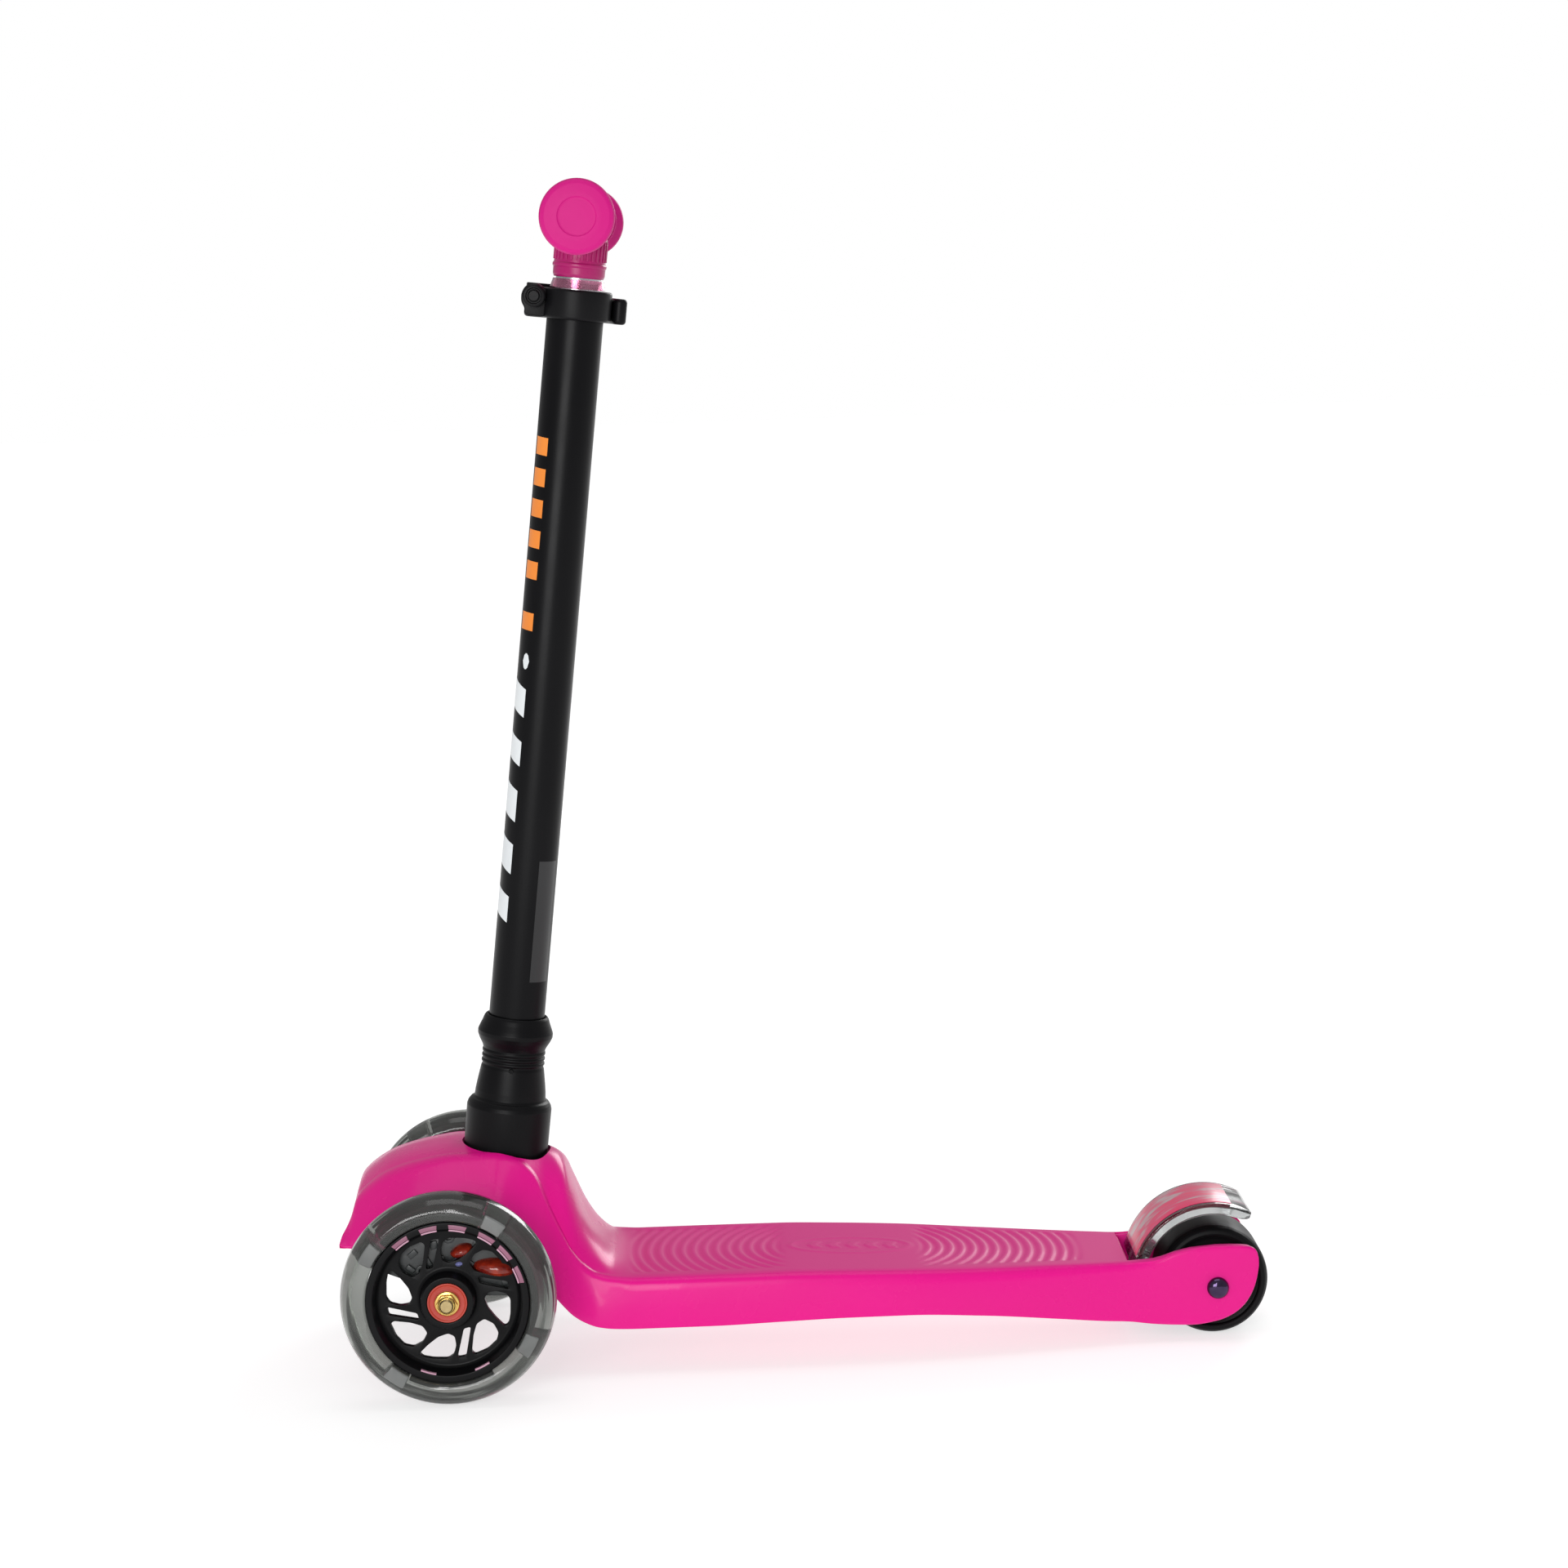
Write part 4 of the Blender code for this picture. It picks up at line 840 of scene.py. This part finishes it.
def handlebar():
    bar = STEM @ shift(0, 0, BAR_S)
    for word, turn in (("left", ALONG_Y), ("right", HALF_TURN @ ALONG_Y)):
        grip = lathe(f"ribbed_grip_{word}", grip_profile(), 72, False, 0.18, bar @ turn)
        file_piece(grip, GRIP_PINK, "handlebar", "grip_pink", f"grip_{word}")
    shell = lathe("shell", mirrored([(11.2, -21), (14.6, -21), (15.5, -18)]), 72, True, 0.8)
    moved(shell, shift(0, 0, BAR_S) @ ALONG_Y)
    neck_line = ((13.0, 621.2), (13.9, 620.7), (14.6, 622.4), (14.7, 628), (14.3, 632))
    neck_line += ((14.5, BAR_S - 8), (13.0, BAR_S - 8))
    neck = lathe("neck", neck_line, 72, True, 0.5)
    bead = lathe("bead", ((14.4, 626.0), (15.2, 627.0), (15.2, 628.4), (14.4, 629.4)), 72, True, 0.3)
    ribs = []
    for k in range(NECK_RIBS):
        at = about_z(360 * k / NECK_RIBS) @ shift(14.5, 0, 0)
        ribs.append(block("rib", (-0.5, -0.55, 630.4), (0.55, 0.55, 642.0), 0.3, at))
    joint = moved(merged("t_joint_moulding", shell, neck, bead, *ribs), STEM)
    file_piece(joint, JOINT_PINK, "handlebar", "deck_pink", "t_joint")
    line = ((13.1, 619.9), (14.3, 619.9), (14.9, 617.6), (15.8, 614.8), (14.7, 614.7), (13.7, 617.6))
    skirt = lathe("clear_skirt", line, 72, True, 0.2, STEM)
    file_piece(skirt, CLEAR_PINK, "handlebar", "clear_pink", "t_joint_skirt")


# ---- front wheels

# Outlines of one group of three hub openings, as seen from outside with the group at the bottom.
OPENINGS = (
    ((-15.1, -27.0), (-10.8, -22.9), (-5.8, -19.2), (-0.8, -17.6), (2.3, -19.2), (2.9, -23.6), (1.5, -28.4),
     (-1.4, -30.3), (-8.6, -30.0), (-13.6, -28.9)),
    ((7.0, -15.4), (10.4, -14.7), (7.5, -29.4), (3.3, -30.0)),
    ((17.1, -10.9), (21.6, -13.4), (23.8, -17.9), (22.7, -22.3), (18.2, -26.3), (12.0, -28.8),
     (10.4, -27.2), (11.5, -19.0), (13.4, -13.2)),
)
OPENING_SPREAD = 1.13  # the outlines are widened by this before they are cut
RIM_WINDOWS = (20, 39.5, 57.5, 80.3, 102, 125)
BARE_LIPS = (253, 296)
BOARD_FACE = -3.9
BEARING_SEAT_R = 11.15


def turned_outline(outline, degrees):
    a = math.radians(degrees)
    c, s = math.cos(a), math.sin(a)
    return [(x * c - y * s, x * s + y * c) for x, y in outline]


def hub_shape():
    """The black wheel core, with its outer face towards +Z and the openings as seen from there."""
    half = [(9.0, -5.2), (BEARING_SEAT_R, -5.2), (BEARING_SEAT_R, -12.5), (14.5, -12.5), (15.6, -3.4)]
    half += [(17.5, -2.2), (38.0, -2.2), (39.6, -3.6), (41.3, -12.0), (45.2, -12.0)]
    core = lathe("core", mirrored(half), 96, True, 0.7)
    cutters = []
    for quarter in range(4):
        for outline in OPENINGS:
            wide = [(x * OPENING_SPREAD, y * OPENING_SPREAD) for x, y in outline]
            flat = rounded(turned_outline(wide, 90 * quarter), 1.3, True, 4)
            cutters.append(slab("window", flat, -20, 20))
    core = cut(core, merged("windows", *cutters))
    return bevelled(core, 0.35, 2, 50.0)


def lugs():
    """Black blocks of the core that reach out into the clear tyre, in three sectors."""
    made = []
    for start, stop in ((66, 136), (242, 300), (332, 410)):
        outline = arc(49.8, start, stop, 24) + arc(44.8, stop, start, 24)
        made.append(slab("lug", outline, -8.5, 8.5, 0.6))
    return made


def rim_blocks(angles, outer, inner, low, high, bevel):
    """Thin blocks round the rim; outer and inner are each a radius and half an angle."""
    made = []
    for degrees in angles:
        far = arc(outer[0], degrees - outer[1], degrees + outer[1], 6)
        near = arc(inner[0], degrees + inner[1], degrees - inner[1], 6)
        made.append(slab("block", far + near, low, high, bevel))
    return made


def led_board():
    """The light module behind the web: a dark board with chips and coils."""
    outline = arc(38.5, -2, 158, 40) + arc(15.5, 158, -2, 30)
    board = slab("board", outline, -5.6, -3.8, 0.3)
    parts = [board]
    for degrees, radius, w, h, lift in (
        (142, 26, 5.0, 3.0, 1.8), (128, 31, 3.2, 5.4, 1.4), (118, 23, 6.2, 2.6, 1.9),
        (104, 30, 4.4, 4.2, 1.5), (98, 22, 2.6, 2.6, 2.2), (55, 22, 3.0, 4.0, 1.6), (62, 33, 4.0, 2.4, 1.4),
        (12, 32, 3.4, 3.4, 1.8), (150, 33, 2.4, 2.4, 2.0), (110, 35, 5.6, 1.8, 1.2),
    ):
        at = about_z(degrees) @ shift(radius, 0, BOARD_FACE)
        parts.append(block("chip", (-w / 2, -h / 2, 0), (w / 2, h / 2, lift), 0.3, at))
    for degrees, radius in ((134, 20.5), (88, 33.5)):
        coil = lathe("coil", ((1.6, 0), (3.4, 0), (3.4, 2.2), (1.6, 2.2)), 24, True, 0.4)
        parts.append(moved(coil, about_z(degrees) @ shift(radius, 0, BOARD_FACE)))
    return merged("board", *parts)


def lens(name, at_x, at_y, half_x, half_y, tilt, height):
    """A low oval dome."""
    verts, faces = [], []
    steps, tiers = 32, 6
    for tier in range(tiers):
        a = math.pi / 2 * tier / tiers
        for k in range(steps):
            b = math.tau * k / steps
            x, y = half_x * math.cos(b), half_y * math.sin(b)
            verts.append((x * math.cos(a), y * math.cos(a), height * math.sin(a)))
    verts.append((0, 0, height))
    for tier in range(tiers - 1):
        for k in range(steps):
            n = (k + 1) % steps
            i = tier * steps
            faces.append((i + k, i + n, i + steps + n, i + steps + k))
    last = (tiers - 1) * steps
    faces += [(last + k, last + (k + 1) % steps, len(verts) - 1) for k in range(steps)]
    faces.append(tuple(range(steps))[::-1])
    made = mesh_of(name, verts, faces)
    return moved(made, shift(at_x, at_y, BOARD_FACE) @ about_z(tilt))


def front_wheel(side, word):
    """One front wheel. Local +Z is the wheel's outer face and local +Y is up on it."""
    face = ALONG_Y @ HALF_TURN
    turn = face if side > 0 else HALF_TURN @ face
    at = FRONT @ shift(0, side * TRACK_HALF, AXLE_Z) @ turn
    body = f"front_wheel_{word}"
    core = merged(f"swirl_hub_{word}", hub_shape(), *lugs())
    file_piece(moved(core, at), HUB_BLACK, body, "black_plastic", f"front_hub_{word}")
    half = [(45.5, -11.6), (46.6, -13.2), (49.0, -14.0), (52.0, -13.7), (55.2, -12.2), (57.8, -9.4)]
    half += [(59.4, -5.4), (60.0, 0.0)]
    tyre = lathe(f"clear_tyre_{word}", mirrored(half), 120, True, 0.9, at)
    file_piece(tyre, CLEAR_TYRE, body, "clear_tyre", f"front_tyre_{word}", sharp=30.0)
    # Only the upper slots get pink plates: painted reflection of the pink body above them.
    slots = rim_blocks(RIM_WINDOWS, (44.0, 6.8), (41.6, 6.8 * 0.92), 11.6, 12.4, 0.25)
    file_piece(moved(merged(f"rim_windows_{word}", *slots), at), SLOT_REFLECTED_PINK, body, "clear_tyre")
    lips = rim_blocks(RIM_WINDOWS + BARE_LIPS, (41.3, 6.2), (40.4, 6.2), 9.6, 12.2, 0.2)
    file_piece(moved(merged(f"rim_window_lips_{word}", *lips), at), SLOT_EDGE, body, "clear_tyre")
    blocks = []
    for degrees in (146, 330, 234, 58):
        outer = arc(54.2, degrees - 7, degrees + 7, 8)
        inner = arc(46.4, degrees + 7, degrees - 7, 8)
        blocks.append(slab("window", outer + inner, -14.05, 14.05, 0.9))
    windows = merged(f"tyre_windows_{word}", *blocks)
    file_piece(moved(windows, at), WINDOW, body, "clear_tyre")
    file_piece(moved(led_board(), at), CIRCUIT, body, "black_plastic").name = f"light_board_{word}"
    large = lens("large", 27.6, 15.4, 13.4, 5.2, -6, 9.0)
    red = merged(f"red_lenses_{word}", large, lens("small", 8.0, 25.6, 6.6, 3.7, 20, 7.6))
    file_piece(moved(red, at), LED_RED, body, "rubber_red")
    blue = lens(f"blue_lens_{word}", 6.6, 19.2, 3.8, 2.4, 10, 7.2)
    file_piece(moved(blue, at), LED_BLUE, body, "clear_tyre")

    ring_line = ((4.3, 5.4), (11.0, 5.4), (11.0, 12.4), (10.2, 12.4), (9.7, 11.9), (7.6, 11.8))
    ring_line += ((7.2, 12.3), (4.3, 12.3))
    seal = lathe(f"bearing_seal_{word}", ring_line, 72, True, 0.25, at)
    file_piece(seal, SEAL_RED, body, "bearing_seal", f"front_bearing_outer_{word}")
    outer_nut = ((3.2, 12.6), (6.9, 12.6), (7.1, 13.2), (6.6, 14.0), (5.2, 14.2), (4.9, 17.6))
    outer_nut += ((4.2, 18.6), (3.2, 18.9))
    nut = lathe(f"brass_wheel_nut_{word}", outer_nut, 48, True, 0.3, at)
    hex_line = arc(6.1, 0, 300, 6)
    hexagon = slab("hexagon", rounded(hex_line, 0.6), 13.2, 17.2, 0.5, at)
    knuckle_body = f"knuckle_arm_{word}"
    file_piece(merged(nut.name, nut, hexagon), GOLD, knuckle_body, "gold_nut", f"wheel_nut_{word}")


# ---- rear wheel and fender


def rear_wheel():
    side = -REAR_HALF_W
    half = [(8.0, side + 7.8), (BEARING_SEAT_R, side + 7.8), (BEARING_SEAT_R, side), (14.6, side)]
    half += [(17.0, side + 2.6), (24.0, side + 3.0), (26.2, side + 2.2)]
    core = lathe("rear_wheel_core", mirrored(half), 96, True, 0.6, REAR)
    file_piece(core, HUB_BLACK, "rear_wheel", "black_plastic", "rear_hub")
    tread = [(26.3, -21.2), (27.4, -21.9), (29.4, -21.2), (30.8, -19.2), (31.6, -16.4)]
    tread += [(REAR_WHEEL_R, -13.0), (REAR_WHEEL_R, -4.0)]
    tyre = lathe("rear_tyre_rubber", mirrored(tread), 120, True, 0.4, REAR)
    file_piece(tyre, RUBBER, "rear_wheel", "black_tyre", "rear_tyre")
    dome = ((0, -38.5), (3.95, -38.5), (3.95, 37.4), (6.2, 37.4), (6.3, 38.0), (6.1, 39.2), (5.3, 40.7))
    dome += ((4.0, 41.6), (2.2, 42.1), (0, 42.25))
    bolt_end = lathe("rear_axle_dome", dome, 64, False, 0.0, REAR)
    file_piece(bolt_end, DARK_CHROME, "deck", "dark_chrome", "rear_axle_bolt")
    cap = ((4.1, -39.0), (4.1, -37.4), (6.2, -37.4), (6.3, -38.0), (6.1, -39.2), (5.3, -40.7), (4.0, -41.7))
    cap += ((2.2, -42.3), (0, -42.4), (0, -39.0))
    nut_end = lathe("rear_axle_cap", cap, 64, False, 0.0, REAR)
    file_piece(nut_end, DARK_CHROME, "deck", "dark_chrome", "rear_axle_nut")


def hooped(name, start, stop, section, count, tail=()):
    """Sweeps a closed section of (radius, y) points round the fender's centre, then along its tail."""
    verts, faces = [], []
    size = len(section)
    stations = []
    x, z = FENDER_CENTRE
    for k in range(count):
        a = math.radians(start + (stop - start) * k / (count - 1))
        stations.append([(x + r * math.cos(a), y, z + r * math.sin(a)) for r, y in section])
    for base_x, base_z, up_x, up_z, squeeze in tail:
        line = []
        for r, y in section:
            d = (r - FENDER_IN) * squeeze
            line.append((base_x + up_x * d, y * (1 - 0.04 * (1 - squeeze)), base_z + up_z * d))
        stations.append(line)
    for line in stations:
        verts += line
    for k in range(len(stations) - 1):
        for i in range(size):
            n = (i + 1) % size
            faces.append((k * size + i, k * size + n, (k + 1) * size + n, (k + 1) * size + i))
    faces.append(tuple(range(size))[::-1])
    faces.append(tuple((len(stations) - 1) * size + i for i in range(size)))
    return mesh_of(name, verts, faces)


def fender():
    """Clear hoop with beaded edges and a straight toe behind, with a printed film on its outside."""
    section = [
        (FENDER_IN, -25.0), (FENDER_IN - 3.8, -25.6), (FENDER_IN - 4.4, -26.6), (FENDER_IN - 3.6, -27.7),
        (FENDER_OUT - 0.9, -28.0), (FENDER_OUT - 0.1, -26.8), (FENDER_OUT, -22), (FENDER_OUT, 0),
    ]
    a = math.radians(108)
    along = (-math.sin(a), math.cos(a))
    up = (math.cos(a), math.sin(a))
    base = (FENDER_CENTRE[0] + FENDER_IN * up[0], FENDER_CENTRE[1] + FENDER_IN * up[1])
    tail = []
    for step, squeeze in ((3.0, 0.97), (5.5, 0.9), (7.6, 0.75), (8.8, 0.55)):
        tail.append((base[0] + along[0] * step, base[1] + along[1] * step * 1.05, up[0], up[1], squeeze))
    hoop = hooped("hoop", 17, 108, rounded(mirrored(section), 0.4, True, 2), 70, tail)
    barrels = []
    pin = shift(FENDER_PIN[0], 0, FENDER_PIN[1]) @ ALONG_Y
    for low, high in ((-27.6, -7.5), (7.5, 27.6)):
        wall = ((2.35, low), (4.3, low), (4.3, high), (2.35, high))
        barrels.append(lathe("barrel", wall, 40, True, 0.3, pin))
    clear = moved(merged("clear_fender", hoop, *barrels), FRONT)
    file_piece(clear, CLEAR_LENS, "fender", "clear_fender", "brake_fender", sharp=45.0)
    strip = mirrored([(46.2, -23.6), (47.1, -23.9), (47.3, -23)])
    inlay = moved(hooped("printed_insert", 21, 104, strip, 48), FRONT)
    file_piece(inlay, INLAY, "fender", "clear_pink", "fender_inlay")


# ---- CAD nodes that keep their own shape


def finish_nodes():
    plain = {
        BLACK: ("chassis_pan", "knuckle_left", "knuckle_right", "guide_sleeve", "clamp_bolt"),
        STEEL: (
            "lean_axle", "lean_axle_nut", "kingpin_left", "kingpin_right", "tie_rod", "crossbar",
            "fender_pin", "fender_spring", "rear_bearing_left", "rear_bearing_right", "rear_spacer_left",
            "rear_spacer_right", "front_bearing_inner_left", "front_bearing_inner_right",
            "pan_screw_front_left", "pan_screw_front_right", "pan_screw_rear_left", "pan_screw_rear_right",
        ),
        BRASS_BOLT: ("wheel_bolt_left", "wheel_bolt_right"),
        DARK_STEEL: ("cam_pin",),
        DARK_CHROME: ("light_magnet_left", "light_magnet_right"),
        PUCK_RED: ("centering_puck_left", "centering_puck_right"),
        NYLON: ("lean_bush_front", "lean_bush_rear"),
    }
    for mat, names in plain.items():
        for name in names:
            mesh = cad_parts[name].data
            mesh.materials.clear()
            mesh.materials.append(mat)


# ---- studio

CAMERA_AT = (0.0458, 2.2, 0.617)
CAMERA_PITCH, CAMERA_YAW, CAMERA_ROLL = 7.532, 1.026, -1.761
LENS = 89.154
SURROUND_LIGHT = 0.42
FLOOR_GREY = (0.48, 0.48, 0.48)
# The floor glows less near the object: painted shade round its foot, deepening the shadows there.
FLOOR_GLOW = (0.35, 1.9, 0.66, 0.84)  # its near and far distance in metres, then its strength at each
FLOOR_HALF = 14.0


def camera():
    pitch, yaw, roll = (math.radians(a) for a in (CAMERA_PITCH, CAMERA_YAW, CAMERA_ROLL))
    ahead = Vector((-math.sin(yaw) * math.cos(pitch), -math.cos(yaw) * math.cos(pitch), -math.sin(pitch)))
    right = ahead.cross(Vector((0, 0, 1))).normalized()
    up = right.cross(ahead)
    side = right * math.cos(roll) + up * math.sin(roll)
    top = up * math.cos(roll) - right * math.sin(roll)
    pose = Matrix((side, top, -ahead)).transposed().to_4x4()
    pose.translation = Vector(CAMERA_AT)
    data = bpy.data.cameras.new("camera")
    data.lens = LENS
    data.sensor_width = 36.0
    made = bpy.data.objects.new("camera", data)
    made.matrix_world = pose
    put_in_scene(made)
    bpy.context.scene.camera = made


def soft_light(name, at, towards, width, height, watts):
    data = bpy.data.lights.new(name, "AREA")
    data.shape = "RECTANGLE"
    data.size = width
    data.size_y = height
    data.energy = watts
    made = bpy.data.objects.new(name, data)
    made.location = at
    aim = Vector(towards) - Vector(at)
    made.rotation_euler = aim.to_track_quat("-Z", "Y").to_euler()
    put_in_scene(made)


def white_surround():
    """A white room: dimmer as a light than it looks, so that glossy colours stay deep."""
    world = bpy.data.worlds.new("studio")
    world.use_nodes = True
    nodes, links = world.node_tree.nodes, world.node_tree.links
    lit = nodes["Background"]
    lit.inputs["Color"].default_value = (1.0, 1.0, 1.0, 1.0)
    lit.inputs["Strength"].default_value = SURROUND_LIGHT
    seen = nodes.new("ShaderNodeBackground")
    seen.inputs["Color"].default_value = (1.0, 1.0, 1.0, 1.0)
    mix = nodes.new("ShaderNodeMixShader")
    path = nodes.new("ShaderNodeLightPath")
    links.new(path.outputs["Is Camera Ray"], mix.inputs["Fac"])
    links.new(lit.outputs["Background"], mix.inputs[1])
    links.new(seen.outputs["Background"], mix.inputs[2])
    links.new(mix.outputs["Shader"], nodes["World Output"].inputs["Surface"])
    bpy.context.scene.world = world


def floor_material():
    """Pale floor that glows more away from the object, so that it meets the white room unseen; its weaker
    glow near the object is painted shade round it.
    """
    mat = new_material("pale_floor", FLOOR_GREY, 0.8, Emission_Color=(1.0, 1.0, 1.0, 1.0))
    vary_colour(mat, FLOOR_GREY, (0.49, 0.49, 0.49), noise(mat, 3.0))
    nodes, links = mat.node_tree.nodes, mat.node_tree.links
    where = nodes.new("ShaderNodeTexCoord")
    length = nodes.new("ShaderNodeVectorMath")
    length.operation = "LENGTH"
    links.new(where.outputs["Object"], length.inputs[0])
    glow = rescaled(mat, length.outputs["Value"], *FLOOR_GLOW)
    links.new(glow, nodes["Principled BSDF"].inputs["Emission Strength"])
    return mat


def studio():
    mesh = bpy.data.meshes.new("floor")
    corners = [(-1, -1), (1, -1), (1, 1), (-1, 1)]
    mesh.from_pydata([(FLOOR_HALF * x, FLOOR_HALF * y, 0) for x, y in corners], [], [(0, 1, 2, 3)])
    mesh.materials.append(floor_material())
    floor = bpy.data.objects.new("floor", mesh)
    put_in_scene(floor)
    white_surround()
    bpy.context.scene.view_settings.view_transform = "Standard"
    soft_light("top_softbox", (0.0, 0.1, 2.6), (0.0, 0.0, 0.2), 1.8, 1.4, 12.0)
    soft_light("key_softbox", (0.9, 2.7, 0.85), (0.0, 0.0, 0.25), 1.0, 1.0, 27.0)
    soft_light("back_softbox", (-1.2, -2.4, 1.2), (0.0, 0.0, 0.25), 1.2, 1.2, 24.0)
    soft_light("strip_softbox", (0.25, 2.9, 1.0), (0.16, 0.0, 0.35), 0.22, 1.8, 16.0)
    camera()


deck_body()
steering_column()
tubes()
clamp()
handlebar()
for wheel_side, wheel_word in ((1, "left"), (-1, "right")):
    front_wheel(wheel_side, wheel_word)
rear_wheel()
fender()
finish_nodes()
studio()
bpy.context.view_layer.update()
